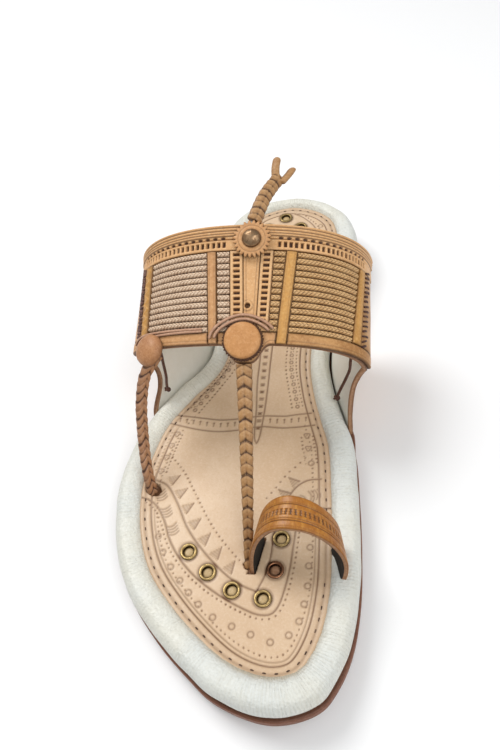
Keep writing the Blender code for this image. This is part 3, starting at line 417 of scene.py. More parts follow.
# darker copy of the tan for the medial pieces: painted shade on that side, with a slightly more golden hue
SHADED_GOLDEN_TAN = leather("shaded golden brown strap leather", (0.540, 0.280, 0.098), (0.340, 0.150, 0.045), (0.680, 0.410, 0.165),
                   (0.070, 0.028, 0.010), 0.48, patchy=0.8)
PALE_TAN = leather("pale tan leather", (0.720, 0.410, 0.180), (0.540, 0.280, 0.110), (0.820, 0.560, 0.310),
                   (0.080, 0.032, 0.014), 0.50)
WOVEN_PALE = leather("pale braided cord", (0.660, 0.440, 0.280), (0.460, 0.265, 0.150), (0.830, 0.660, 0.490),
                     (0.060, 0.024, 0.012), 0.50, patches=120.0, patchy=0.5)
WOVEN_GOLD = leather("golden braided cord", (0.580, 0.325, 0.125), (0.400, 0.195, 0.065), (0.770, 0.520, 0.260),
                     (0.055, 0.022, 0.010), 0.48, patches=120.0, patchy=0.5)
BRAID = leather("brown braid leather", (0.440, 0.238, 0.096), (0.310, 0.148, 0.054), (0.600, 0.380, 0.190),
                (0.060, 0.024, 0.010), 0.48, patches=160.0, patchy=0.5)
SIDE_BRAID_SKIN = leather("pinkish side braid leather", (0.460, 0.235, 0.115), (0.320, 0.145, 0.065),
                          (0.560, 0.340, 0.220), (0.050, 0.018, 0.010), 0.48, patches=160.0, patchy=0.5)
RING_SKIN = leather("golden brown ring leather", (0.450, 0.178, 0.020), (0.280, 0.090, 0.009), (0.580, 0.285, 0.055),
                    (0.050, 0.016, 0.006), 0.40, patches=70.0, patchy=0.75, coat=0.15, stretch=(1, 0.4, 1))
BUTTON = leather("button leather", (0.570, 0.275, 0.098), (0.430, 0.185, 0.060), (0.680, 0.380, 0.170),
                 (0.060, 0.022, 0.010), 0.55, patches=260.0, patchy=0.4)
SIDE_SKIN = leather("side button leather", (0.450, 0.215, 0.092), (0.330, 0.140, 0.058), (0.580, 0.320, 0.165),
                    (0.055, 0.020, 0.012), 0.50, patches=240.0, patchy=0.5)
THONG_TAN = leather("pinkish tan thong", (0.520, 0.300, 0.190), (0.380, 0.195, 0.110), (0.680, 0.450, 0.310),
                    (0.060, 0.024, 0.014), 0.52, patches=260.0)
LACE = leather("purple brown lacing", (0.210, 0.100, 0.070), (0.090, 0.038, 0.034), (0.440, 0.270, 0.190),
               (0.035, 0.015, 0.014), 0.55, patches=420.0, patchy=0.8)
CUT_EDGE = leather("cut leather edge", (0.400, 0.215, 0.115), (0.250, 0.115, 0.055), (0.560, 0.350, 0.220),
                   (0.060, 0.024, 0.014), 0.62, patches=220.0)
DECK = leather("tooled insole leather", (0.670, 0.490, 0.325), (0.580, 0.395, 0.240), (0.740, 0.580, 0.420),
               (0.150, 0.066, 0.026), 0.46, patches=30.0, patchy=0.62, pores=1700.0, pore_depth=0.00005,
               coat=0.14, speckle=0.34)
LINING = leather("cream lining leather", (0.890, 0.870, 0.800), (0.810, 0.780, 0.690), (0.920, 0.900, 0.850),
                 (0.250, 0.150, 0.080), 0.55, patches=50.0, pore_depth=0.00004, speckle=0.2)
# cream rim colour, a painted shade colour and a bluish painted cool reflection
RIM = pebbled("cream pebbled leather", (0.700, 0.685, 0.600), (0.500, 0.460, 0.360), (0.660, 0.700, 0.700))
THONG_DARK = leather("dark thong leather", (0.095, 0.036, 0.022), (0.050, 0.018, 0.012), (0.190, 0.085, 0.050),
                     (0.020, 0.008, 0.006), 0.55, patches=300.0)
BLACK_LINING = leather("black ring lining", (0.012, 0.011, 0.012), (0.006, 0.006, 0.006), (0.040, 0.038, 0.036),
                       (0.002, 0.002, 0.002), 0.60)
SOLE = leather("brown outsole", (0.225, 0.088, 0.046), (0.145, 0.050, 0.026), (0.330, 0.155, 0.090),
               (0.040, 0.014, 0.008), 0.55, patches=60.0)
THREAD = leather("dark stitch thread", (0.150, 0.085, 0.055), (0.080, 0.045, 0.030), (0.260, 0.170, 0.120),
                 (0.025, 0.014, 0.010), 0.65, patches=400.0)
BRASS = metal("antique brass", (0.420, 0.300, 0.130), (0.260, 0.175, 0.075), (0.045, 0.026, 0.012), 0.48)
COPPER = metal("copper brown eyelet", (0.360, 0.170, 0.090), (0.220, 0.100, 0.050), (0.040, 0.016, 0.010), 0.45)
BRONZE = metal("rubbed bronze stud", (0.360, 0.235, 0.135), (0.200, 0.115, 0.060), (0.050, 0.026, 0.014), 0.46)
EYELET_FLOOR = leather("golden eyelet floor", (0.500, 0.355, 0.170), (0.400, 0.260, 0.110), (0.600, 0.460, 0.260),
                       (0.120, 0.070, 0.030), 0.40)

# Outline of the sole, as in the part's source: place along the shoe, middle as a share of the ball's
# width, half width as a share of the named width, and the width
FOOTBED_SECTIONS = (
    (0.020, 0.178, 0.179, BALL_WIDTH),
    (0.050, 0.152, 0.264, BALL_WIDTH),
    (0.095, 0.108, 0.355, BALL_WIDTH),
    (0.164, 0.047, 0.445, BALL_WIDTH),
    (0.243, 0.006, 0.490, BALL_WIDTH),
    (0.330, -0.014, 0.500, BALL_WIDTH),
    (0.409, -0.007, 0.475, BALL_WIDTH),
    (0.464, -0.003, 0.424, BALL_WIDTH),
    (0.518, 0.025, 0.626, WAIST_WIDTH),
    (0.577, 0.072, 0.500, WAIST_WIDTH),
    (0.675, 0.090, 0.503, WAIST_WIDTH),
    (0.779, 0.110, 0.458, HEEL_WIDTH),
    (0.864, 0.126, 0.500, HEEL_WIDTH),
    (0.933, 0.122, 0.442, HEEL_WIDTH),
    (0.969, 0.122, 0.329, HEEL_WIDTH),
    (0.991, 0.124, 0.175, HEEL_WIDTH),
)
TOE_TIP_MIDDLE = 0.201
HEEL_TIP_MIDDLE = 0.125
RIM_SHARES = ((0.00, 0.12, 0.40, 0.52, 0.62, 0.75, 0.86, 0.94, 1.00),
              (0.92, 0.96, 0.97, 0.80, 0.72, 0.85, 1.00, 0.80, 0.62))
ARCH_FROM = 0.40
BREAST_AT = 0.695
BREAST_RUN = 0.008
LIFT_FROM = 0.42
LIFT_TO = 0.71
SPRING_FROM = 0.174
FLAP_LATERAL_FRONT = 0.475
FLAP_MEDIAL_FRONT = 0.452
FLAP_BACK = 0.640
FLAP_EASE = 0.045
FLAP_CLEAR = 0.0007
TOE_EDGE = 0.0004


def spline_loop(points, steps):
    """Closed smooth curve through points in a plane, `steps` samples to each stretch."""
    points = np.array(points)
    count = len(points)
    samples = []
    for i in range(count):
        p0, p1, p2, p3 = (points[(i + k) % count] for k in (-1, 0, 1, 2))
        knots = [0.0]
        for a, b in ((p0, p1), (p1, p2), (p2, p3)):
            knots.append(knots[-1] + sqrt(np.linalg.norm(b - a)))
        t0, t1, t2, t3 = knots
        t = np.linspace(t1, t2, steps, endpoint=False)[:, None]
        a1 = (t1 - t) / (t1 - t0) * p0 + (t - t0) / (t1 - t0) * p1
        a2 = (t2 - t) / (t2 - t1) * p1 + (t - t1) / (t2 - t1) * p2
        a3 = (t3 - t) / (t3 - t2) * p2 + (t - t2) / (t3 - t2) * p3
        b1 = (t2 - t) / (t2 - t0) * a1 + (t - t0) / (t2 - t0) * a2
        b2 = (t3 - t) / (t3 - t1) * a2 + (t - t1) / (t3 - t1) * a3
        samples.append((t2 - t) / (t2 - t1) * b1 + (t - t1) / (t2 - t1) * b2)
    return np.vstack(samples)


def footbed_curve():
    medial = [((m * BALL_WIDTH + h * w), along_to_y(a)) for a, m, h, w in FOOTBED_SECTIONS]
    lateral = [((m * BALL_WIDTH - h * w), along_to_y(a)) for a, m, h, w in FOOTBED_SECTIONS]
    toe = (TOE_TIP_MIDDLE * BALL_WIDTH, along_to_y(0.0))
    heel = (HEEL_TIP_MIDDLE * BALL_WIDTH, along_to_y(1.0))
    dense = spline_loop([toe] + medial + [heel] + lateral[::-1], 60)
    closed = np.vstack([dense, dense[:1]])
    run = np.concatenate([[0], np.cumsum(np.linalg.norm(np.diff(closed, axis=0), axis=1))])
    places = np.linspace(0, run[-1], 1201)[:-1]
    curve = np.stack([np.interp(places, run, closed[:, k]) for k in range(2)], axis=1)
    return np.roll(curve, -int(np.argmax(curve[:, 1])), axis=0), run[-1]


CURVE, PERIMETER = footbed_curve()
CURVE_AHEAD = np.roll(CURVE, -1, axis=0) - np.roll(CURVE, 1, axis=0)
CURVE_AHEAD /= np.linalg.norm(CURVE_AHEAD, axis=1)[:, None]
CURVE_OUT = np.stack([CURVE_AHEAD[:, 1], -CURVE_AHEAD[:, 0]], axis=1)
CURVE_ALONG = y_to_along(CURVE[:, 1])


def offset_curve(margin):
    """The footbed's outline moved outwards by margin, a length for each of its points."""
    return CURVE + CURVE_OUT * np.broadcast_to(margin, (len(CURVE),))[:, None]


def recess_curve(extra=0.0):
    """Inner edge of the rim, kept round at the toe where the inset would fold into a corner."""
    curve = offset_curve(-rim_inset(CURVE_ALONG) - extra)
    ease = 0.5 * smooth((0.13 + 4 * extra - CURVE_ALONG) / 0.07)[:, None]
    for _ in range(420 + int(130000 * extra)):
        curve = mix(curve, 0.5 * (np.roll(curve, 1, axis=0) + np.roll(curve, -1, axis=0)), ease)
    return curve


def outline_sides(margin):
    return curve_sides(offset_curve(margin))


def curve_sides(curve):
    """Medial and lateral half of a closed outline, each from toe to heel."""
    curve = np.roll(curve, -int(np.argmin(curve[:, 1])), axis=0)
    heel = int(np.argmax(curve[:, 1]))
    return curve[:heel + 1], np.vstack([curve[heel:], curve[:1]])[::-1]


def edge_x(y, side, margin=0.0):
    curve = outline_sides(margin)[0 if side > 0 else 1]
    return np.interp(y, curve[:, 1], curve[:, 0])


def toe_spring(y):
    start = along_to_y(SPRING_FROM)
    return TOE_SPRING * (np.maximum(0.0, start - y) / (start - along_to_y(0.0))) ** 2


def outsole_top(y):
    return OUTSOLE_THICK + toe_spring(y) + HEEL_LIFT * smooth((y_to_along(y) - LIFT_FROM) / (LIFT_TO - LIFT_FROM))


def outsole_bottom(y):
    along = y_to_along(y)
    arch = toe_spring(y) + ARCH_RISE * smooth((along - ARCH_FROM) / (BREAST_AT - ARCH_FROM))
    return np.where(along > BREAST_AT + 0.5 * BREAST_RUN, 0.0, arch)


def rim_top(y):
    return outsole_top(y) + GAP + CUSHION_THICK


def insole_top(y):
    return rim_top(y) - RIM_STAND


def rim_inset(along):
    return RIM_WIDTH * np.interp(along, *RIM_SHARES)


def outsole_margin(along):
    front = smooth((along - FLAP_MEDIAL_FRONT + FLAP_EASE) / FLAP_EASE)
    back = smooth((FLAP_BACK + FLAP_EASE - along) / FLAP_EASE)
    return SOLE_EDGE + TOE_EDGE * smooth((0.2 - along) / 0.2) + (WALL_THICK + FLAP_CLEAR) * front * back


def make_outsole():
    """Layered sole edge with a fine groove, a rounded foot and the step of the heel."""
    lateral_rows = np.concatenate([np.linspace(0, 0.02, 8), np.linspace(0.02, 0.98, 170)[1:-1], np.linspace(0.98, 1, 8)])
    breast = np.array([BREAST_AT - 0.0005, BREAST_AT + 0.5 * BREAST_RUN, BREAST_AT + 0.5 * BREAST_RUN + 0.0004])
    shares = np.unique(np.concatenate([(1 - np.cos(pi * lateral_rows)) / 2, breast]))
    # inset from the outline, place between bottom (0) and top (1), and darkening, which is painted shade in the fine
    # groove, under the rim at the top and at the foot on the floor
    profile = ((0.0022, 0.00, 0.1), (0.0009, 0.00, 0.2), (0.0002, 0.10, 0.0), (0.0, 0.30, 0.0), (0.0, 0.47, 0.0),
               (0.00045, 0.50, 0.9), (0.0, 0.53, 0.0), (0.0, 0.80, 0.0), (0.0002, 0.93, 0.1), (0.0010, 1.00, 0.5))
    rings, dark = [], []
    for inset, height, darkening in profile:
        medial, lateral = outline_sides(outsole_margin(CURVE_ALONG) - inset)
        low, high = medial[0, 1], medial[-1, 1]
        y = mix(low, high, shares)
        right = np.interp(y, medial[:, 1], medial[:, 0])
        left = np.interp(y, lateral[:, 1], lateral[:, 0])
        x = np.concatenate([right, left[-2:0:-1]])
        y = np.concatenate([y, y[-2:0:-1]])
        bottom, top = outsole_bottom(y), outsole_top(y)
        rings.append(np.stack([x, y, mix(bottom, top, height)], axis=1))
        dark.append(np.full(len(x), darkening))
    count = len(rings[0])
    half = len(shares) - 1
    faces = list(grid_faces(len(rings), count, wrap_columns=True))
    for start in (0, count * (len(rings) - 1)):
        for i in range(half):
            quad = [start + i, start + i + 1, start + count - i - 1, start + (count - i) % count]
            faces.append(list(dict.fromkeys(quad)))
    obj = make_mesh("outsole_edge", np.concatenate(rings), faces, SOLE, layers={"dark": np.concatenate(dark)})
    obj.data.set_sharp_from_angle(angle=radians(50))
    settle(face_out(obj), "outsole", "outsole")


make_outsole()


def make_rim():
    """Padded rim: a closed ring of leather that is drawn tight over its core and gathered at the bends."""
    inner = rim_inset(CURVE_ALONG)
    base = outsole_top(CURVE[:, 1]) + GAP
    crest = np.minimum(0.50 * RIM_WIDTH, 0.50 * inner)
    insets = [0.30 * RIM_WIDTH, 0.08 * RIM_WIDTH, 0.0, 0.08 * RIM_WIDTH, 0.54 * crest, crest,
              np.maximum(inner - 0.22 * RIM_WIDTH, 0.78 * inner), inner - 0.02 * RIM_WIDTH, inner + 0.002]
    heights = [0.0, 0.16, 0.48, 0.78, 0.96, 1.0, 0.965, 0.855, 0.58]
    knots = np.stack([np.stack([np.broadcast_to(i, inner.shape), h * CUSHION_THICK * np.ones_like(inner)], axis=1)
                      for i, h in zip(insets, heights)])
    padded = np.concatenate([2 * knots[:1] - knots[1:2], knots, 2 * knots[-1:] - knots[-2:-1]])
    section = []
    for p0, p1, p2, p3 in zip(padded, padded[1:], padded[2:], padded[3:]):
        for t in np.linspace(0, 1, 5, endpoint=False):
            section.append(0.5 * (2 * p1 + (p2 - p0) * t + (2 * p0 - 5 * p1 + 4 * p2 - p3) * t ** 2
                                  + (3 * p1 - p0 - 3 * p2 + p3) * t ** 3))
    section.append(knots[-1])
    section.append(np.stack([inner + 0.002, 0.05 * CUSHION_THICK * np.ones_like(inner)], axis=1))
    section = np.stack(section)
    rows = len(section)
    run = np.linspace(0, PERIMETER, len(CURVE), endpoint=False)
    # gathers: fine pleats that fade outwards from the seam and are deepest round toe and heel
    bend = np.abs(np.cross(CURVE_AHEAD, np.roll(CURVE_AHEAD, -8, axis=0)))
    bend = np.convolve(np.concatenate([bend[-40:], bend, bend[:40]]), np.ones(81) / 81, "valid")
    bend = 0.35 + 1.3 * bend / bend.max()
    pleats = wander(run, (PERIMETER / 219, 0.5), (PERIMETER / 295, 0.5), (PERIMETER / 145, 0.4))
    gather = np.abs(np.interp(run, run, pleats)) * bend * 0.00026
    dents = wander(run, (PERIMETER / 9, 0.00010), (PERIMETER / 23, 0.00008), (PERIMETER / 41, 0.00006))
    share = np.linspace(0, 1, rows)
    near_seam = smooth((share - 0.45) / 0.35) * smooth((1.02 - share) / 0.15)
    near_sole = smooth((0.30 - share) / 0.25)
    sink = gather * (near_seam[:, None] + 0.5 * near_sole[:, None]) + dents * smooth((0.9 - share) / 0.2)[:, None]
    xy = CURVE + (recess_curve() - CURVE) * section[..., :1] / inner[:, None]
    xyz = np.concatenate([xy, (base + section[..., 1])[..., None]], axis=2)
    normal = np.cross(np.roll(xyz, -1, axis=1) - np.roll(xyz, 1, axis=1), np.gradient(xyz, axis=0))
    normal /= np.linalg.norm(normal, axis=2)[..., None]
    xyz = xyz - normal * sink[..., None] * np.sign(normal[5, 0] @ np.append(CURVE_OUT[0], 0))
    # painted shade: dark where the rim turns down into the seam by the insole, lighter at its foot on the outsole
    dark = 0.85 * smooth((share - 0.86) / 0.08)[:, None] + 0.25 * smooth((0.10 - share) / 0.08)[:, None] + 0 * run
    steps = np.linalg.norm(np.diff(section[:, 0], axis=0), axis=1)
    lap = 2 * pi * run / PERIMETER
    layers = {"dark": dark, "lap_x": np.tile(np.cos(lap), rows), "lap_y": np.tile(np.sin(lap), rows),
              "round": np.repeat(np.concatenate([[0], np.cumsum(steps)]) / MM, len(run))}
    obj = make_mesh("padded_rim", xyz.reshape(-1, 3), grid_faces(rows, len(run), True, True), RIM, layers=layers)
    settle(face_out(obj), "cushion", "footbed")


make_rim()

# Tooling of the insole, in millimetres on its plan. Routes are listed and drawn smooth.
CHANNEL_OUTER = ((-44.5, -57.0), (-41.0, -58.0), (-36.2, -61.4), (-31.6, -68.4), (-27.6, -77.3), (-22.1, -85.1),
                 (-15.4, -91.8), (-7.3, -97.6), (1.3, -102.4), (8.5, -105.6), (14.4, -107.5), (19.6, -107.0),
                 (22.6, -103.2), (24.6, -95.9), (26.1, -86.8), (27.1, -76.5), (28.0, -69.0), (31.0, -63.0),
                 (36.5, -60.0), (42.5, -59.5))
CHANNEL_INNER_LATERAL = ((-44.5, -46.5), (-39.0, -48.0), (-33.0, -50.9), (-26.7, -60.0), (-21.2, -70.2),
                         (-15.0, -78.2), (-7.3, -86.0), (0.9, -92.7), (7.0, -96.0), (12.9, -98.0))
CHANNEL_INNER_MEDIAL = ((12.9, -98.0), (15.5, -91.8), (17.3, -84.3), (17.9, -77.3), (18.6, -68.0), (20.8, -59.0),
                        (24.3, -53.0), (27.1, -49.0), (31.6, -46.0), (37.5, -45.2))
TRIANGLE_LINE_LATERAL = ((-35.0, -33.5), (-32.9, -35.9), (-26.3, -43.5), (-21.7, -50.5), (-15.9, -60.0), (-10.5, -68.4),
                         (-5.4, -74.9), (0.3, -81.0), (6.2, -86.6))
TRIANGLE_LINE_MEDIAL = ((29.8, -34.4), (26.1, -38.8), (22.8, -42.0), (19.9, -46.2), (16.8, -51.0), (13.6, -55.5))
RINGS = ((-33.2, -75.7), (-29.8, -82.9), (-25.2, -89.3), (-20.2, -95.1), (-15.6, -100.0), (-10.7, -104.7),
         (-3.9, -109.7), (4.4, -112.9), (12.4, -115.7), (20.5, -118.2), (27.6, -115.0), (31.3, -109.2),
         (32.9, -102.1), (33.9, -94.5), (33.9, -86.0), (34.2, -77.9), (34.4, -70.0), (32.7, -37.1))
HEARTS_LATERAL = ((-37.8, -42.9), (-36.4, -35.5), (-35.1, -28.9), (-33.4, -22.3))
HEARTS_MEDIAL = ((31.0, -29.2), (30.0, -22.3))
WAIST_LATERAL = ((-26.4, -8.6), (-23.8, -4.4), (-21.0, 0.0), (-18.0, 4.8), (-14.7, 10.0), (-11.4, 15.8),
                 (-9.0, 21.8), (-7.4, 28.0))
WAIST_MEDIAL = ((24.6, -6.2), (23.2, 0.3), (21.9, 7.0), (20.6, 13.9), (20.2, 21.0), (20.4, 28.0))
TRIANGLES = ((-30.2, -46.6, 36), (-25.6, -53.4, 38), (-21.4, -60.8, 40), (-16.9, -68.2, 44), (-11.4, -75.4, 52),
             (-5.4, -81.6, 56), (1.2, -87.6, 58), (24.6, -46.4, 138), (20.6, -52.6, 142))
HATCHES = ((-35.5, -55.6, 28), (-31.6, -63.8, 24), (-27.2, -72.2, 26), (24.4, -64.4, 150), (29.0, -56.6, 130),
           (35.0, -53.2, 105))
CROSS_BACK = ((-35.5, -11.6), (-32.6, -11.9), (-20.9, -13.3), (-12.6, -14.1), (-3.7, -13.4), (3.0, -12.3),
              (9.3, -11.6), (18.4, -11.6), (24.9, -10.6), (31.5, -9.8))
CROSS_FRONT = ((-37.5, -16.4), (-34.7, -17.1), (-24.1, -19.5), (-13.4, -20.7), (-3.0, -19.7), (2.5, -18.4),
               (8.2, -17.6), (17.2, -18.2), (25.3, -17.6), (33.4, -16.4))
SPINE_LATERAL = ((6.2, -27.0), (4.7, -22.8), (4.4, -7.6), (3.7, 6.0), (3.9, 19.0), (4.4, 40.0), (5.6, 62.0), (7.0, 80.0))
SPINE_MEDIAL = ((6.2, -27.0), (7.4, -22.8), (8.6, -7.6), (9.2, 6.0), (9.5, 19.0), (10.4, 40.0), (12.0, 62.0),
                (14.0, 80.0))
HEEL_CHANNEL_OUTER = ((15.5, 130.2), (21.0, 126.6), (27.4, 119.0), (31.0, 109.0), (32.2, 100.0), (32.0, 92.0))
HEEL_CHANNEL_INNER = ((-1.8, 92.0), (-2.0, 100.0), (-0.8, 107.0), (2.6, 113.6), (10.6, 117.6), (18.6, 113.6),
                      (22.2, 107.0), (23.4, 100.0), (23.2, 92.0))
HEEL_RINGS = ((31.3, 118.6), (34.3, 111.4))
EYELETS = {
    "front": ((0.2183, -0.164), (0.1882, -0.078), (0.1633, 0.023), (0.1536, 0.142), (0.1965, 0.179),
              (0.2445, 0.194)),
    "heel": ((0.8660, -0.058), (0.9110, 0.004), (0.9405, 0.093), (0.9110, 0.175), (0.8660, 0.232)),
}


def ridge(far, width):
    return np.exp(-(far / width) ** 2)


class Tooling:
    """Pressed depth and darkening of the insole's surface, on points in millimetres."""

    def __init__(self, x, y):
        self.x, self.y = x, y
        self.depth = np.zeros_like(x)
        self.dark = np.zeros_like(x)

    def press(self, where, amount, depth, dark):
        self.depth[where] = np.maximum(self.depth[where], depth * amount)
        self.dark[where] = np.maximum(self.dark[where], min(1.25 * dark, 1.0) * amount)

    def near(self, px, py, reach):
        return np.nonzero((np.abs(self.x - px) < reach) & (np.abs(self.y - py) < reach))[0]

    def stroke(self, ax, ay, bx, by, width, depth, dark, power=2.0):
        reach = 0.5 * np.hypot(bx - ax, by - ay) + 2.2 * width
        where = self.near((ax + bx) / 2, (ay + by) / 2, reach)
        dx, dy = bx - ax, by - ay
        share = ((self.x[where] - ax) * dx + (self.y[where] - ay) * dy) / max(dx * dx + dy * dy, 1e-9)
        share = np.clip(share, 0, 1)
        far = np.hypot(self.x[where] - ax - share * dx, self.y[where] - ay - share * dy)
        self.press(where, np.exp(-(far / width) ** power), depth, dark)

    def groove(self, route, width, depth, dark):
        path = smooth_path(route, 1.6)[0]
        for (ax, ay), (bx, by) in zip(path, path[1:]):
            self.stroke(ax, ay, bx, by, width, depth, dark)

    def dot(self, px, py, radius, depth, dark):
        where = self.near(px, py, radius * 1.8)
        far = np.hypot(self.x[where] - px, self.y[where] - py)
        self.press(where, np.exp(-(far / radius) ** 4), depth, dark)

    def dots(self, route, pitch, radius=0.45, depth=0.36, dark=0.78, move=0.0):
        path = smooth_path(route, pitch)[0]
        ahead = tangents(path)
        for (px, py), (ax, ay) in zip(path, ahead):
            self.dot(px - ay * move, py + ax * move, radius * RANDOM.uniform(0.85, 1.12), depth, dark)

    def ring(self, px, py, radius=1.25, width=0.34, depth=0.32, dark=0.55, lobes=0, turn=0.0):
        where = self.near(px, py, radius * 2)
        dx, dy = self.x[where] - px, self.y[where] - py
        edge = radius * (1 + (0.22 * np.cos(lobes * (np.arctan2(dy, dx) - turn)) if lobes else 0))
        self.press(where, np.exp(-((np.hypot(dx, dy) - edge) / width) ** 2), depth, dark)

    def triangle(self, px, py, degrees, base=5.4, tall=6.2):
        """Comb stamp: a filled wedge that points along degrees, bold on its right and toothed elsewhere."""
        where = self.near(px, py, 7.0)
        c, s = cos(radians(degrees)), sin(radians(degrees))
        dx, dy = self.x[where] - px, self.y[where] - py
        along, beside = (dx * c + dy * s) / tall + 0.5, (dy * c - dx * s) / base
        half = 0.5 * (1 - along)
        teeth = 0.05 * np.cos(2 * pi * along * 5.5) * (beside > 0) + 0.0
        inside = smooth((np.minimum(half - np.abs(beside) + teeth, along - 0.06 * np.cos(2 * pi * beside * 6)) + 0.03) / 0.08)
        bold = ridge((beside + half - 0.07) * base, 0.55) * smooth((along + 0.02) / 0.1) * smooth((1.02 - along) / 0.08)
        comb = 0.5 + 0.5 * np.cos(2 * pi * along * 5.5)
        self.press(where, inside * (0.45 + 0.55 * comb), 0.36, 0.38)
        self.press(where, np.maximum(bold, 0) * inside, 0.46, 0.66)

    def strokes(self, px, py, degrees, lines, width, depth, dark):
        c, s = cos(radians(degrees)), sin(radians(degrees))
        for ax, ay, bx, by in lines:
            self.stroke(px + ax * c - ay * s, py + ax * s + ay * c, px + bx * c - by * s, py + bx * s + by * c,
                        width, depth, dark)


def tool_insole(x, y, edge_far):
    """All the marks: border grooves, rings, dots, the channel, triangles, hatches, cross band and spine."""
    t = Tooling(x, y)
    everywhere = np.arange(len(x))
    toe = smooth((-45 - y) / 30)
    plain = 1 - smooth((y + 24) / 8) * smooth((52 - y) / 12) * (x < 0)
    for far, width, depth, dark, where in ((2.5, 0.60, 0.26, 0.30, 1.0), (5.5, 0.36, 0.40, 0.72, plain),
                                           (7.1, 0.34, 0.26, 0.45, toe)):
        t.press(everywhere, np.exp(-((edge_far - far) / width) ** 2) * where, depth, dark)
    line = recess_curve(GAP + RIM_DOTS * MM) / MM
    line = np.roll(line, int(np.argmax(line[:, 1] < -200)), axis=0)
    fore = line[line[:, 1] < RIM_DOTS_FROM]
    t.dots(fore[::12], 2.35, radius=0.42, dark=0.70)
    for route in (CHANNEL_OUTER, CHANNEL_INNER_LATERAL, CHANNEL_INNER_MEDIAL, HEEL_CHANNEL_OUTER, HEEL_CHANNEL_INNER):
        t.groove(route, 0.42, 0.42, 0.66)
    for route in (CROSS_BACK, CROSS_FRONT, SPINE_LATERAL, SPINE_MEDIAL):
        t.groove(route, 0.38, 0.36, 0.66)
    t.dots(CHANNEL_OUTER[1:-2], 2.25, move=-1.7)
    t.dots(HEEL_CHANNEL_OUTER[1:-1], 2.3, move=1.7)
    t.dots(TRIANGLE_LINE_LATERAL, 2.45)
    t.dots(TRIANGLE_LINE_MEDIAL, 3.3)
    for px, py in RINGS + HEEL_RINGS:
        t.ring(px, py)
    for px, py in HEARTS_LATERAL + HEARTS_MEDIAL:
        t.ring(px, py, 1.2, 0.34, 0.32, 0.60, 3, 0.5)
        t.dot(px, py, 0.4, 0.2, 0.4)
    for route, side in ((WAIST_LATERAL, 1), (WAIST_MEDIAL, -1)):
        path = smooth_path(route, 4.6)[0]
        for px, py in path:
            t.ring(px, py, 0.80, 0.30, 0.32, 0.66)
            t.dot(px - 0.5, py + 1.9, 0.40, 0.34, 0.70)
            t.dot(px + 0.7, py + 2.3, 0.36, 0.34, 0.62)
        t.dots(route, 2.1, move=-2.7 * side, radius=0.45)
        t.dots(route, 2.1, move=2.5 * side, radius=0.40)
    for route, side in ((HEARTS_LATERAL, -1), (HEARTS_MEDIAL + RINGS[-1:], 1)):
        t.dots(route, 2.0, move=2.7 * side, radius=0.45)
        t.dots(route, 2.0, move=-2.6 * side, radius=0.38, dark=0.45)
    for px, py, degrees in TRIANGLES:
        t.triangle(px, py, degrees)
    arcs = []
    for k in range(4):
        bow = [(dx, 2.0 - 1.35 * k + 0.9 * (dx / 2.4) ** 2 - 0.5) for dx in (-2.4, -1.3, 0.0, 1.3, 2.4)]
        arcs += [(*a, *b) for a, b in zip(bow, bow[1:])]
    for px, py, degrees in HATCHES:
        t.strokes(px, py, degrees, arcs, 0.36, 0.34, 0.50)
    tick = ((0.0, 1.2, 0.0, -0.6),)
    middle = [((a[0] + b[0]) / 2, (a[1] + b[1]) / 2) for a, b in zip(CROSS_BACK, CROSS_FRONT)]
    for px, py in smooth_path(middle, 3.5)[0][1:-1]:
        if not 2.0 < px < 9.5:
            t.strokes(px, py, 0, tick, 0.30, 0.32, 0.60)
            t.dot(px, py + 1.2, 0.55, 0.36, 0.72)
    block = ((-0.9, 0.7, 0.9, 0.7), (-0.8, -0.25, 0.8, -0.25), (-0.5, 0.2, 0.4, 0.2))
    middle = [((a[0] + b[0]) / 2, (a[1] + b[1]) / 2) for a, b in zip(SPINE_LATERAL, SPINE_MEDIAL)]
    for px, py in smooth_path(middle, 4.2)[0][2:]:
        t.strokes(px, py, 0, block, 0.34, 0.34, 0.72)
    return t


RIM_DOTS = 8.3
RIM_DOTS_FROM = -12.0


def plan_far(x, y, curve):
    """Distance to a closed curve, in its own unit."""
    best = np.full(len(x), 1e9)
    ahead = np.roll(curve, -1, axis=0)
    for (ax, ay), (bx, by) in zip(curve, ahead):
        dx, dy = bx - ax, by - ay
        share = np.clip(((x - ax) * dx + (y - ay) * dy) / (dx * dx + dy * dy), 0, 1)
        best = np.minimum(best, (x - ax - share * dx) ** 2 + (y - ay - share * dy) ** 2)
    return np.sqrt(best)


CENTRE_FOOT = (0.2000, 0.076)
SIDE_FOOT = (0.3168, -0.361)
INSOLE_COLUMNS = 186


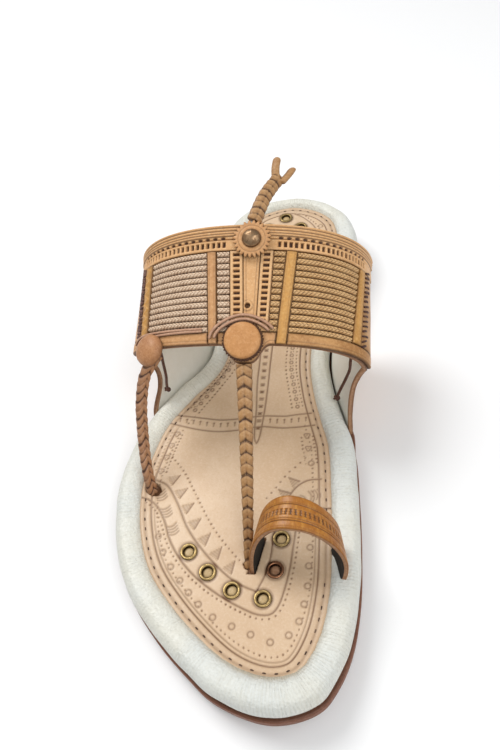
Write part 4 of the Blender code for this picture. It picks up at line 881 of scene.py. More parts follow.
def make_insole():
    """Tooled leather sheet: a fine grid pressed by every stamp, with rolled edges."""
    outline = recess_curve(GAP)
    medial, lateral = curve_sides(outline)
    low, high = medial[0, 1], medial[-1, 1]
    tips = np.array([0, 0.02, 0.07, 0.15, 0.27, 0.42]) * MM
    front = np.arange(low + 0.6 * MM, 0.030, 0.44 * MM)
    back = np.arange(0.030, high - 0.6 * MM, 0.72 * MM)
    y = np.concatenate([low + tips, front, back, (high - tips)[::-1]])
    right = np.interp(y, medial[:, 1], medial[:, 0])
    left = np.interp(y, lateral[:, 1], lateral[:, 0])
    shares = np.linspace(0, 1, INSOLE_COLUMNS - 4)
    shares = np.unique(np.concatenate([shares, [0.0015, 0.0032, 1 - 0.0032, 1 - 0.0015]]))
    gx = mix(left[:, None], right[:, None], shares[None])
    gy = np.repeat(y[:, None], len(shares), axis=1)
    x_mm, y_mm = gx.ravel() / MM, gy.ravel() / MM
    edge_far = plan_far(x_mm, y_mm, outline[::4] / MM)
    t = tool_insole(x_mm, y_mm, edge_far)
    roll = 0.45 * np.clip(1 - edge_far / 0.9, 0, 1) ** 2
    sag = 0.10 * np.sin(x_mm / 9.0 + 1.0) * np.sin(y_mm / 14.0)
    depth = t.depth + roll + sag * 0.5
    dark = t.dark + 0.30 * np.clip(1 - edge_far / 1.3, 0, 1) + 0.09 * smooth((7.0 - edge_far) / 3.0)
    # sunk and dark under each eyelet; round its foot a pressed ring, darkened as painted shade
    for group in EYELETS.values():
        for along, across in group:
            far = np.hypot(x_mm - across * BALL_WIDTH / MM, y_mm - along_to_y(along) / MM)
            depth = np.where(far < 2.65, 1.9, depth + 0.25 * np.exp(-((far - 4.1) / 0.6) ** 2))
            dark = np.where(far < 2.75, 1.0, dark + 0.60 * np.exp(-((far - 4.15) / 0.55) ** 2))
    # holes for the braids' feet: dark inside and at the lip, painted shade
    holes = ((CENTRE_FOOT[1] * BALL_WIDTH / MM + 0.2, along_to_y(CENTRE_FOOT[0]) / MM + 0.5, 2.3, 1.9, 0.0),
             (SIDE_FOOT[1] * BALL_WIDTH / MM + 0.4, along_to_y(SIDE_FOOT[0]) / MM + 1.2, 4.2, 2.9, -0.6))
    for hx, hy, wide, deep, lean in holes:
        u = (x_mm - hx) * cos(lean) + (y_mm - hy) * sin(lean)
        v = -(x_mm - hx) * sin(lean) + (y_mm - hy) * cos(lean)
        far = np.hypot(u / wide, v / deep)
        depth = np.where(far < 1, 1.9, depth)
        dark = np.where(far < 1.04, 1.0, dark + 0.4 * np.exp(-((far - 1.0) / 0.16) ** 2))
    # slot where the toe ring's lateral leg goes in: dark inside, painted shade
    slot = np.maximum(np.abs(x_mm - 11.5 - 0.20 * (y_mm + 82.5)) / 1.9, np.abs(y_mm + 82.5) / 7.9)
    depth = np.where(slot < 1, 1.9, depth)
    dark = np.where(slot < 1.06, 1.0, dark)
    top = np.stack([gx.ravel(), gy.ravel(), insole_top(gy.ravel()) - depth * MM], axis=1)
    rows, columns = gx.shape
    rim = [i * columns for i in range(rows)] + [(rows - 1) * columns + j for j in range(1, columns)]
    rim += [i * columns + columns - 1 for i in range(rows - 2, -1, -1)] + list(range(columns - 2, 0, -1))
    under = top[rim] * (1, 1, 0) + np.stack([0 * top[rim, 0], 0 * top[rim, 0],
                                             insole_top(top[rim, 1]) - INSOLE_THICK], axis=1)
    start = len(top)
    count = len(rim)
    faces = list(grid_faces(rows, columns))
    faces += [[rim[k], rim[(k + 1) % count], start + (k + 1) % count, start + k] for k in range(count)]
    for i in range(rows - 1):
        right_low, right_high = start + count - columns + 1 - i, start + count - columns - i
        faces.append([start + i, start + i + 1, right_high, right_low])
    end_row = start + rows - 1
    faces.append(list(range(end_row, end_row + columns)))
    faces.append([start] + [start + count - 1 - j for j in range(columns - 1)])
    dark = np.concatenate([dark, np.full(count, 0.55)])
    obj = make_mesh("tooled_insole", np.concatenate([top, under]), faces, DECK, layers={"dark": dark})
    settle(face_out(obj), "insole", "insole")


make_insole()


def make_insole_stitches():
    """Dark stitches in the groove along the insole's edge, a shallow bow each."""
    line = recess_curve(GAP + 2.5 * MM)
    closed = np.vstack([line, line[:1]])
    run = np.concatenate([[0], np.cumsum(np.linalg.norm(np.diff(closed, axis=0), axis=1))])
    pitch, length = 4.75 * MM, 1.8 * MM
    count = int(run[-1] / pitch)
    parts = []
    for k in range(count):
        middle = (k + RANDOM.uniform(-0.04, 0.04)) * run[-1] / count
        if 0.014 < np.interp(middle, run, closed[:, 0]) and abs(np.interp(middle, run, closed[:, 1]) + 0.0845) < 0.009:
            continue
        places = np.linspace(middle - length / 2, middle + length / 2, 5) % run[-1]
        xy = np.stack([np.interp(places, run, closed[:, i]) for i in range(2)], axis=1)
        bow = np.array([-0.45, 0.05, 0.16, 0.05, -0.45]) * MM
        path = np.column_stack([xy, insole_top(xy[:, 1]) - 0.18 * MM + bow])
        parts.append(tube_part(path, np.array([0.35, 0.55, 0.6, 0.55, 0.35]) * MM, 0.5 * MM, (0.3, 1, 0.1), 6,
                               RANDOM.uniform(0, 0.7)))
    points, faces, dark = join_meshes(parts)
    settle(make_mesh("insole_stitches", points, faces, THREAD, layers={"dark": dark}), "thong")


make_insole_stitches()


def lathe_part(profile, sides, centre, axis, dark=None, wobble=None, closed=True):
    """Turned form about an axis: profile of (radius, height), wobble an array of rings by sides."""
    axis = np.asarray(axis, float) / np.linalg.norm(axis)
    across = np.cross(axis, (0.31, 0.95, 0.05))
    across /= np.linalg.norm(across)
    over = np.cross(axis, across)
    angle = np.linspace(0, 2 * pi, sides, endpoint=False)
    profile = np.asarray(profile, float)
    radius = profile[:, 0][:, None] * (1 + (0 if wobble is None else wobble))
    radius = np.broadcast_to(radius, (len(profile), sides))
    points = (np.asarray(centre) + axis * profile[:, 1][:, None, None]
              + (across * np.cos(angle)[:, None] + over * np.sin(angle)[:, None]) * radius[..., None])
    faces = list(grid_faces(len(profile), sides, closed, True))
    if not closed:
        faces.append(list(range(sides))[::-1])
        last = (len(profile) - 1) * sides
        faces.append(list(range(last, last + sides)))
    dark = np.zeros(len(profile)) if dark is None else np.asarray(dark, float)
    return points.reshape(-1, 3), faces, np.repeat(dark, sides)


def deck_normal(y):
    step = 0.004
    return np.array((0.0, float(insole_top(y - step) - insole_top(y + step)), 2 * step))


def make_eyelets():
    """Rolled brass rims, brighter on the crown, round a barrel with a gold floor."""
    turns = np.linspace(0, pi, 9)
    flange = [(3.13 + 0.66 * cos(a), 0.30 + 0.34 * sin(a)) for a in turns]
    profile = [(3.83, 0.10)] + flange + [(2.38, 0.12), (2.30, -0.2), (2.28, -1.55), (2.7, -1.55), (2.75, 0.08)]
    # dark: tarnish at the flange's outer foot, painted shade over its inner slope and down the bore
    dark = [1.0, 0.75, 0.35, 0.1, 0.0, 0.0, 0.0, 0.12, 0.35, 0.6, 0.85, 1.0, 0.6, 0.9, 0.9]
    for group, places in EYELETS.items():
        for number, (along, across) in enumerate(places, start=1):
            y = float(along_to_y(along))
            centre = np.array((across * BALL_WIDTH, y, float(insole_top(y))))
            axis = deck_normal(y)
            node = f"eyelet_{group}_{number}"
            ring = lathe_part(np.array(profile) * MM, 40, centre, axis, dark)
            skin = COPPER if node == "eyelet_front_5" else BRASS
            settle(face_out(make_mesh(node + "_rim", *ring[:2], skin, layers={"dark": ring[2]})), "brass", node)
            # floor darker at its rim by the barrel wall: painted shade
            floor = lathe_part(np.array([(2.2, -1.05), (2.15, -0.75), (1.3, -0.62), (0.3, -0.60)]) * MM, 28, centre, axis,
                               (0.6, 0.35, 0.0, 0.0), closed=False)
            base = CUT_EDGE if skin is COPPER else EYELET_FLOOR
            settle(face_out(make_mesh(node + "_floor", *floor[:2], base, layers={"dark": floor[2]})), "brass")


make_eyelets()

# The strap's surface, as in the part's source: `turn` from side to side, `across` from front to back
FLAP_TURN = 1.55
FLAP_TAPER_FRONT = 4.0
FLAP_TAPER_BACK = 1.5
FLAP_TUCK = 0.0060
OVERLAY_END = 0.94
RIDGE_FRONT_ALONG = 0.463
SIDE_FRONT_ALONG = 0.4957
RIDGE_RUN = 0.825
SIDE_RUN = 0.953
SIDE_SKEW = 0.0043
PANEL_FRONT = 0.10
PANEL_BACK = 0.795
TONGUE_AT = 0.026
TONGUE_SPREAD = 0.085
TONGUE_REACH = 0.155
BAND_STACK = OVERLAY_THICK + GAP + WALL_THICK
TURN_GAP = GAP / (0.5 * pi * BAND_HALF_SPAN)
ACROSS_GAP = GAP / BAND_WIDTH
TANGENT_STEP = 0.004
FLAP_FOOT_ROWS = 9
STRIP_EDGES = {
    "side_lateral": ((-OVERLAY_END, -OVERLAY_END), (-0.619, -0.632)),
    "strip_lateral_outer": ((-0.615, -0.628), (-0.547, -0.542)),
    "strip_lateral_inner": ((-0.154, -0.182), (-0.112, -0.136)),
    "ladder_lateral": ((-0.042, -0.062), (0.020, 0.002)),
    "ladder_medial": ((0.080, 0.104), (0.135, 0.166)),
    "strip_medial_inner": ((0.180, 0.238), (0.228, 0.290)),
    "strip_medial_outer": ((0.603, 0.705), (0.683, 0.768)),
    "side_medial": ((0.687, 0.772), (OVERLAY_END, OVERLAY_END)),
}
WOVEN_PANELS = {
    "woven_lateral": ("strip_lateral_outer", "strip_lateral_inner"),
    "woven_lateral_inner": ("strip_lateral_inner", "ladder_lateral"),
    "woven_medial_inner": ("ladder_medial", "strip_medial_inner"),
    "woven_medial": ("strip_medial_inner", "strip_medial_outer"),
}
ROSETTE_AT = (0.055, 0.872)
FRONT_BUTTON_AT = (0.022, 0.020)
SIDE_BUTTON_AT = (-0.487, -0.030)
HOLE_AT = (0.037, 0.320)


def ridge_y(across):
    return along_to_y(RIDGE_FRONT_ALONG) + RIDGE_RUN * BAND_WIDTH * across


def side_y(across, side):
    return along_to_y(SIDE_FRONT_ALONG) + SIDE_RUN * BAND_WIDTH * across - side * SIDE_SKEW * (1 - across)


def arch_face(turn, across):
    angle = turn * pi / 2
    spread = np.abs(np.sin(angle)) ** BAND_ROUNDNESS + np.abs(np.cos(angle)) ** BAND_ROUNDNESS
    radius = spread ** (-1 / BAND_ROUNDNESS)
    side_high = mix(FRONT_SIDE_HIGH, BACK_SIDE_HIGH, across)
    ridge_high = mix(FRONT_RIDGE_HIGH, BACK_RIDGE_HIGH, across)
    rise = radius * np.cos(angle)
    base = side_y(across, np.where(turn > 0, 1, -1))
    x = BAND_CENTRE + BAND_HALF_SPAN * radius * np.sin(angle)
    return np.stack([x, mix(base, ridge_y(across), rise), mix(side_high, ridge_high, rise)], axis=-1)


def flap_feet(side):
    y = along_to_y(np.linspace(FLAP_MEDIAL_FRONT if side > 0 else FLAP_LATERAL_FRONT, FLAP_BACK, FLAP_FOOT_ROWS))
    return np.stack([edge_x(y, side, FLAP_CLEAR + BAND_STACK), y, outsole_top(y) + GAP], axis=1)


FLAP_FEET = {side: flap_feet(side) for side in (-1, 1)}


def band_face(turn, across):
    """Outer face of the whole strap, flaps included."""
    turn, across = np.broadcast_arrays(np.asarray(turn, float), np.asarray(across, float))
    face = arch_face(np.clip(turn, -1, 1), across)
    for side in (-1, 1):
        flap = turn * side > 1
        if not flap.any():
            continue
        a = across[flap]
        top = arch_face(np.full_like(a, side), a)
        foot = np.stack([np.interp(a, np.linspace(0, 1, FLAP_FOOT_ROWS), FLAP_FEET[side][:, k]) for k in range(3)],
                        axis=-1)
        down = (np.abs(turn[flap]) - 1) / (FLAP_TURN - 1)
        taper = mix(FLAP_TAPER_FRONT, FLAP_TAPER_BACK, smooth(a))
        x = mix(foot[:, 0], top[:, 0], np.maximum(0, 1 - down) ** taper)
        if side < 0:
            x = x + FLAP_TUCK * np.maximum(0, 1 - a) ** 2 * np.sin(pi * np.minimum(down, 1) ** 0.6) ** 2
        face[flap] = np.stack([x, mix(top[:, 1], foot[:, 1], smooth(down)), mix(top[:, 2], foot[:, 2], down)], axis=-1)
    return face


def band_normal(turn, across):
    ahead = band_face(turn + TANGENT_STEP, across) - band_face(turn - TANGENT_STEP, across)
    over = band_face(turn, across + TANGENT_STEP) - band_face(turn, across - TANGENT_STEP)
    normal = np.cross(ahead, over)
    return normal / np.linalg.norm(normal, axis=-1)[..., None]


def band_point(turn, across, height):
    turn, across = np.broadcast_arrays(np.asarray(turn, float), np.asarray(across, float))
    return band_face(turn, across) + band_normal(turn, across) * np.asarray(height)[..., None]


def front_edge(turn):
    return -TONGUE_REACH * np.exp(-((turn - TONGUE_AT) / TONGUE_SPREAD) ** 4)


def strip_turn(edge, across):
    return mix(edge[0], edge[1], across)


def shifted(edge, amount):
    return (edge[0] + amount, edge[1] + amount)


EDGE_STEPS = np.array([0, 0.06, 0.15, 0.28]) * MM


def edged(length, step):
    """Shares along a length about a step apart, with finer ones at both ends."""
    inner = np.linspace(0.45 * MM, length - 0.45 * MM, max(2, int(length / step)))
    return np.concatenate([EDGE_STEPS, inner, length - EDGE_STEPS[::-1]]) / length


class Panel:
    """Fine grid over a piece of the strap, and its distances in millimetres from the left and front edges."""

    def __init__(self, left, right, front, back, step=0.28, step_along=None):
        def size(t0, a0, t1, a1):
            line = band_face(np.linspace(t0, t1, 30), np.linspace(a0, a1, 30))
            return np.linalg.norm(np.diff(line, axis=0), axis=1).sum()
        middle = 0.5 * (strip_turn(left, 0.5) + strip_turn(right, 0.5))
        front = front if callable(front) else (lambda turn, value=front: value + 0 * turn)
        back = back if callable(back) else (lambda turn, value=back: value + 0 * turn)
        length = size(middle, float(front(middle)), middle, float(back(middle)))
        width = size(strip_turn(left, 0.5), 0.5, strip_turn(right, 0.5), 0.5)
        rows = edged(length, (step_along or step) * MM)[:, None]
        columns = edged(width, step * MM)[None]
        rough_across = mix(0.5 * (front(middle) + back(middle)), 0, 0 * columns) + 0 * rows
        rough_turn = mix(strip_turn(left, rough_across), strip_turn(right, rough_across), columns)
        self.across = mix(front(rough_turn), back(rough_turn), rows)
        self.turn = mix(strip_turn(left, self.across), strip_turn(right, self.across), columns)
        self.across = mix(front(self.turn), back(self.turn), rows)
        face = band_face(self.turn, self.across)
        self.wide = np.zeros(self.turn.shape)
        self.wide[:, 1:] = np.cumsum(np.linalg.norm(np.diff(face, axis=1), axis=2), axis=1) / MM
        self.long = np.zeros(self.turn.shape)
        self.long[1:] = np.cumsum(np.linalg.norm(np.diff(face, axis=0), axis=2), axis=0) / MM
        self.width = self.wide[:, -1:]
        self.length = self.long[-1:]
        self.edge_far = np.minimum(np.minimum(self.wide, self.width - self.wide),
                                   np.minimum(self.long, self.length - self.long))

    def rounded(self, radius):
        """Drop of the top face towards the edges, in millimetres."""
        d = np.clip(self.edge_far / radius, 0, 1)
        return -radius * (1 - np.sqrt(1 - (1 - d) ** 2)) * 0.8

    def build(self, name, height, material, slot, *nodes, dark=0.0, highlight_and_tone=0.0, floor=-OVERLAY_THICK):
        """Solid with its top at a height in millimetres over the strap's outer face."""
        rows, columns = self.turn.shape
        top = band_point(self.turn, self.across, height * MM).reshape(-1, 3)
        rim = [i * columns for i in range(rows)] + [(rows - 1) * columns + j for j in range(1, columns)]
        rim += [i * columns + columns - 1 for i in range(rows - 2, -1, -1)] + list(range(columns - 2, 0, -1))
        under = band_point(self.turn.ravel()[rim], self.across.ravel()[rim], floor)
        start, count = len(top), len(rim)
        faces = list(grid_faces(rows, columns))
        faces += [[rim[k], rim[(k + 1) % count], start + (k + 1) % count, start + k] for k in range(count)]
        for j in range(columns - 1):
            faces.append([start + (count - j) % count, start + count - j - 1, start + rows + j, start + rows - 1 + j])
        dark = np.broadcast_to(dark, self.turn.shape).ravel()
        highlight_and_tone = np.broadcast_to(highlight_and_tone, self.turn.shape).ravel()
        layers = {"dark": np.concatenate([dark, dark[rim] + 0.3]), "highlight_and_tone": np.concatenate([highlight_and_tone, 0 * highlight_and_tone[rim]])}
        faces.append(list(range(start, start + rows)))
        faces.append(list(range(start + rows + columns - 2, start + 2 * rows + columns - 2)))
        obj = make_mesh(name, np.concatenate([top, under]), faces, material, layers=layers)
        return settle(face_out(obj), slot, *nodes)


def make_woven():
    """Braided cords side by side: each row is a plait of slanted lobes with a gap to the next; painted shade darkens
    the gaps and the dips between lobes, and a painted highlight lightens the lobe crowns.
    """
    for name, (left, right) in WOVEN_PANELS.items():
        pale = "lateral" in name
        panel = Panel(shifted(STRIP_EDGES[left][1], 1.5 * TURN_GAP), shifted(STRIP_EDGES[right][0], -1.5 * TURN_GAP),
                      PANEL_FRONT + ACROSS_GAP, PANEL_BACK - ACROSS_GAP, 0.24, 0.20)
        row = (panel.across - PANEL_FRONT) / (PANEL_BACK - PANEL_FRONT) * ROW_COUNT
        number = np.floor(row)
        v = row - number - 0.5
        shift = RANDOM.uniform(0, 1, ROW_COUNT + 1)[number.astype(int)]
        pitch = 1.75
        slant = np.where(v > 0, 0.5, 0.0) + 1.5 * np.abs(v)
        u = panel.wide / pitch + shift + slant + 0.05 * np.sin(panel.wide / 3.1 + number)
        lobe = np.abs(np.sin(pi * u))
        edge = 0.45 + 0.045 * np.cos(2 * pi * (u - slant) + np.where(v > 0, 0, pi))
        round_row = np.sqrt(np.clip(1 - (np.abs(v) / edge) ** 2.4, 0, 1))
        middle = ridge(v, 0.045)
        height = -1.40 + 1.15 * round_row + 0.50 * lobe ** 0.7 * round_row - 0.22 * middle * round_row
        gap = smooth((0.74 - round_row) / 0.45)
        # painted shade in the gaps between rows and the dips between lobes, and a darker line down each row's middle
        dark = 1.0 * gap + 0.90 * ridge(lobe, 0.30) * (1 - gap) + 0.40 * middle * (1 - gap)
        tone = RANDOM.uniform(-0.06, 0.16, (ROW_COUNT + 1, 400))
        lobe_number = (np.floor(u) % 400).astype(int)
        # painted highlight on the lobe crowns, weaker on the medial panels, with random tone per lobe added
        highlight_and_tone = 0.75 * lobe ** 2 * round_row * (1 if pale else 0.7) + tone[number.astype(int), lobe_number]
        panel.build(name + "_plaits", height + panel.rounded(0.5), WOVEN_PALE if pale else WOVEN_GOLD, "cord", name,
                    dark=dark, highlight_and_tone=np.clip(highlight_and_tone, 0, 1))


def make_strips():
    """Four strips with rolled edges; the outer lateral one is stitched in a zigzag."""
    starts = {"strip_lateral_outer": PANEL_FRONT, "strip_medial_outer": PANEL_FRONT}
    for name in ("strip_lateral_outer", "strip_lateral_inner", "strip_medial_inner", "strip_medial_outer"):
        left, right = STRIP_EDGES[name]
        panel = Panel(left, right, starts.get(name, 0.0) + ACROSS_GAP, PANEL_BACK - ACROSS_GAP, 0.24, 0.32)
        s = panel.wide / panel.width
        height = 0.35 + 0.25 * np.sin(pi * s) + 0.9 * panel.rounded(0.5)
        dark = 0.55 * ridge(panel.edge_far - 0.05, 0.35) + 0.25 * ridge(panel.edge_far - 0.95, 0.16)
        height = height - 0.10 * ridge(panel.edge_far - 0.95, 0.18)
        ripple = 0.05 * np.sin(panel.long * 1.9 + 2 * np.sin(panel.long / 3.7)) * np.sin(pi * s)
        if name == "strip_lateral_outer":
            zig = np.abs((panel.long / 2.3) % 2 - 1)
            height = height + 0.30 * ridge(s - 0.2 - 0.6 * zig, 0.13)
            dark = dark + 0.25 * (1 - ridge(s - 0.2 - 0.6 * zig, 0.2))
        material = TAN if name == "strip_lateral_inner" else GOLDEN_STRIP
        panel.build(name + "_leather", height + ripple, material, "strap", name, dark=dark)


def make_sides():
    for name, inner in (("side_lateral", 1), ("side_medial", 0)):
        left, right = STRIP_EDGES[name]
        panel = Panel(left, right, PANEL_FRONT + ACROSS_GAP, PANEL_BACK - ACROSS_GAP, 0.45)
        height = panel.rounded(0.4) + 0.06 * np.sin(panel.wide / 3.0) * np.sin(panel.long / 4.3)
        dark = 0.7 * ridge(panel.edge_far, 0.5)
        # the medial side piece takes the darker tan: painted shade on that side
        panel.build(name + "_leather", height, TAN if inner else SHADED_GOLDEN_TAN, "strap", name, dark=dark)


def make_front_borders():
    lateral, medial = STRIP_EDGES["strip_lateral_inner"], STRIP_EDGES["strip_medial_inner"]
    stretches = (
        ("front_border_lateral", (-OVERLAY_END, -OVERLAY_END), shifted(lateral[0], -TURN_GAP)),
        ("front_border_centre", shifted(lateral[1], TURN_GAP), shifted(medial[0], -TURN_GAP)),
        ("front_border_medial", shifted(medial[1], TURN_GAP), (OVERLAY_END, OVERLAY_END)),
    )
    for name, left, right in stretches:
        panel = Panel(left, right, front_edge, PANEL_FRONT, 0.35, 0.30)
        height = 0.15 + 1.1 * panel.rounded(0.7) - 0.12 * ridge(panel.long - 1.6, 0.3)
        height = height + 0.05 * np.sin(panel.wide / 4.0 + 1.0)
        dark = 0.75 * ridge(panel.edge_far, 0.55) + 0.35 * ridge(panel.long - 1.6, 0.28)
        # the medial border takes the darker tan: painted shade on that side
        skin = SHADED_GOLDEN_TAN if name == "front_border_medial" else TAN
        panel.build(name + "_leather", height, skin, "strap", name, dark=dark)


def make_ladders():
    start, end, rail = 0.17, 0.778, 0.22
    for name in ("ladder_lateral", "ladder_medial"):
        left, right = STRIP_EDGES[name]
        panel = Panel(left, right, PANEL_FRONT + ACROSS_GAP, PANEL_BACK - ACROSS_GAP, 0.20, 0.20)
        s = panel.wide / panel.width
        cell = (panel.across - start) / (end - start) * LADDER_SLOTS
        inside = (panel.across > start) & (panel.across < end)
        v = np.abs(cell - np.floor(cell) - 0.5)
        hole = smooth((0.30 - v) / 0.10) * smooth((0.5 - rail - np.abs(s - 0.5)) / 0.05) * inside
        height = 0.30 + panel.rounded(0.45) - 1.5 * hole
        # dark in the slots: painted shade
        dark = 1.0 * smooth((hole - 0.25) / 0.5) + 0.4 * ridge(panel.edge_far, 0.3)
        # rails beside the slots a paler tone
        highlight_and_tone = 0.25 * (1 - hole) * (np.abs(s - 0.5) > 0.5 - rail)
        panel.build(name + "_strip", height, PALE_TAN, "strap", name, dark=np.clip(dark, 0, 1), highlight_and_tone=highlight_and_tone)


def make_centre():
    left = shifted(STRIP_EDGES["ladder_lateral"][1], TURN_GAP)
    right = shifted(STRIP_EDGES["ladder_medial"][0], -TURN_GAP)
    panel = Panel(left, right, PANEL_FRONT + ACROSS_GAP, PANEL_BACK - ACROSS_GAP, 0.20, 0.20)
    hole = band_face(*HOLE_AT)
    far = np.linalg.norm(band_face(panel.turn, panel.across) - hole, axis=2) / MM
    fold = np.minimum(panel.wide, panel.width - panel.wide)
    height = panel.rounded(0.4) - 0.16 * ridge(fold - 1.2, 0.22) + 0.28 * ridge(far - 1.75, 0.4)
    height = height - 1.5 * smooth((1.25 - far) / 0.3)
    # dark inside the hole: painted shade; darker fold lines and edges
    dark = 0.4 * ridge(fold - 1.2, 0.22) + 0.4 * ridge(panel.edge_far, 0.3) + smooth((1.3 - far) / 0.25)
    dark = dark + 0.35 * ridge(far - 2.4, 0.25)
    panel.build("centre_leather", height, PALE_TAN, "strap", "centre_panel", dark=np.clip(dark, 0, 1))


SLOT_FRONT = 0.820
SLOT_BACK = 0.866
SLOT_BORDER_BACK = 0.885
SLOT_SPANS = ((-0.640, -0.075), (0.175, 0.740))
BORDER_EDGE = 1.014


def make_back_border():
    """Slotted border with its dashes, and the rolled edge with three ridges."""
    ends = ((-OVERLAY_END, -OVERLAY_END), (OVERLAY_END, OVERLAY_END))
    panel = Panel(*ends, PANEL_BACK, SLOT_BORDER_BACK, 0.30, 0.22)
    height = 0.30 + panel.rounded(0.4)
    dark = 0.35 * ridge(panel.edge_far, 0.35)
    for start, end in SLOT_SPANS:
        cell = (panel.turn - start) / (end - start) * BORDER_SLOTS
        inside = (panel.turn > start) & (panel.turn < end)
        u = np.abs(cell - np.floor(cell) - 0.5)
        v = np.abs(panel.across - 0.5 * (SLOT_FRONT + SLOT_BACK)) / (SLOT_BACK - SLOT_FRONT)
        hole = smooth((0.32 - u) / 0.12) * smooth((0.56 - v) / 0.14) * inside
        height = height - 1.5 * hole
        # dark in the slots: painted shade
        dark = dark + smooth((hole - 0.2) / 0.5)
    panel.build("slotted_border", height, PALE_TAN, "strap", "back_border_slots", dark=np.clip(dark, 0, 1))

    panel = Panel(*ends, SLOT_BORDER_BACK + ACROSS_GAP, BORDER_EDGE, 0.35, 0.20)
    a = panel.across
    height = 0.20 + 0.60 * ridge(a - 0.925, 0.0095) + 0.60 * ridge(a - 0.947, 0.0095) + 0.80 * ridge(a - 0.972, 0.012)
    height = height + 0.95 * ridge(a - 1.000, 0.013) + 1.2 * panel.rounded(0.6)
    # painted shade: dark lines in the valleys between the ridges
    dark = sum(0.85 * ridge(a - place, 0.0045) for place in (0.914, 0.936, 0.959, 0.986))
    for start, end in SLOT_SPANS:
        cell = (panel.turn - start) / (end - start) * BORDER_DASHES
        inside = (panel.turn > start) & (panel.turn < end)
        u = (cell - np.floor(cell) - 0.5) / 0.29
        v = (a - 0.8985) / 0.0105
        dash = smooth((1.12 - np.hypot(u, v)) / 0.25) * inside
        height = height - 0.6 * dash
        dark = dark + 1.1 * dash
    panel.build("rolled_border", height, PALE_TAN, "strap", "back_border_ridge", dark=np.clip(dark, 0, 1))


def make_wall():
    """Leather and lining of the strap: one wall from flap foot to flap foot, brown at its cut edges."""
    outer, inner = -(OVERLAY_THICK + GAP), -BAND_STACK
    turns = np.concatenate([np.linspace(-FLAP_TURN, -1, 50)[:-1], np.linspace(-1, 1, 230),
                            np.linspace(1, FLAP_TURN, 50)[1:]])
    shares = np.concatenate([[0, 0.004, 0.012, 0.03], np.linspace(0.05, 0.95, 60), [0.97, 0.988, 0.996, 1]])
    across = mix(front_edge(turns)[:, None], 1.0, shares[None])
    turn = np.repeat(turns[:, None], len(shares), axis=1)
    lip = 0.35 * MM * np.exp(-np.minimum(shares, 1 - shares) / 0.004)
    crease = 0.14 * MM * np.sin(turn * 26 + across * 5) * smooth((np.abs(turn) - 0.95) / 0.15)
    top = band_point(turn, across, outer - lip + np.minimum(crease, 0))
    under = band_point(turn[:, ::-1], across[:, ::-1], inner + lip[::-1])
    mid_front = band_point(turn[:, :1], across[:, :1] - 0.003, 0.5 * (outer + inner) * np.ones_like(turn[:, :1]))
    mid_back = band_point(turn[:, :1], across[:, -1:] + 0.003, 0.5 * (outer + inner) * np.ones_like(turn[:, :1]))
    ring = np.concatenate([top, mid_back, under, mid_front], axis=1)
    rows, columns = ring.shape[:2]
    faces = list(grid_faces(rows, columns, wrap_columns=True))
    count = len(shares)
    place = np.tile(np.arange(columns), rows - 1)
    picks = np.where(place < count - 1, 0, np.where((place > count) & (place < 2 * count), 1, 2))
    picks = np.where((place < 3) | ((place > count - 5) & (place < count + 5)) | (place > 2 * count - 4), 2, picks)
    faces.append(list(range(columns)))
    faces.append(list(range((rows - 1) * columns, rows * columns)))
    picks = np.concatenate([picks, [2, 2]])
    edge = np.zeros(columns)
    edge[:count] = 0.5 * np.exp(-np.minimum(shares, 1 - shares) / 0.02)
    obj = make_mesh("strap_wall", ring.reshape(-1, 3), faces, [TAN, LINING, CUT_EDGE], picks,
                    {"dark": np.tile(edge, rows)})
    settle(face_out(obj), "lining", "upper_band")


make_wall()
make_woven()
make_strips()
make_sides()
make_front_borders()
make_ladders()
make_centre()
make_back_border()


def turned_disc(name, profile, sides, centre, axis, material, wobble=0.0, dark=0.0, highlight_and_tone=0.0):
    """Closed turned form from (radius, height) in millimetres; the other values are rings by sides."""
    ring = lathe_part(np.array(profile) * MM, sides, centre, axis, wobble=wobble, closed=False)
    shape = (len(profile), sides)
    layers = {"dark": np.broadcast_to(dark, shape), "highlight_and_tone": np.broadcast_to(highlight_and_tone, shape)}
    return face_out(make_mesh(name, *ring[:2], material, layers=layers))


def band_seat(spot, height):
    return band_point(*spot, height * np.ones(())), band_normal(*spot)


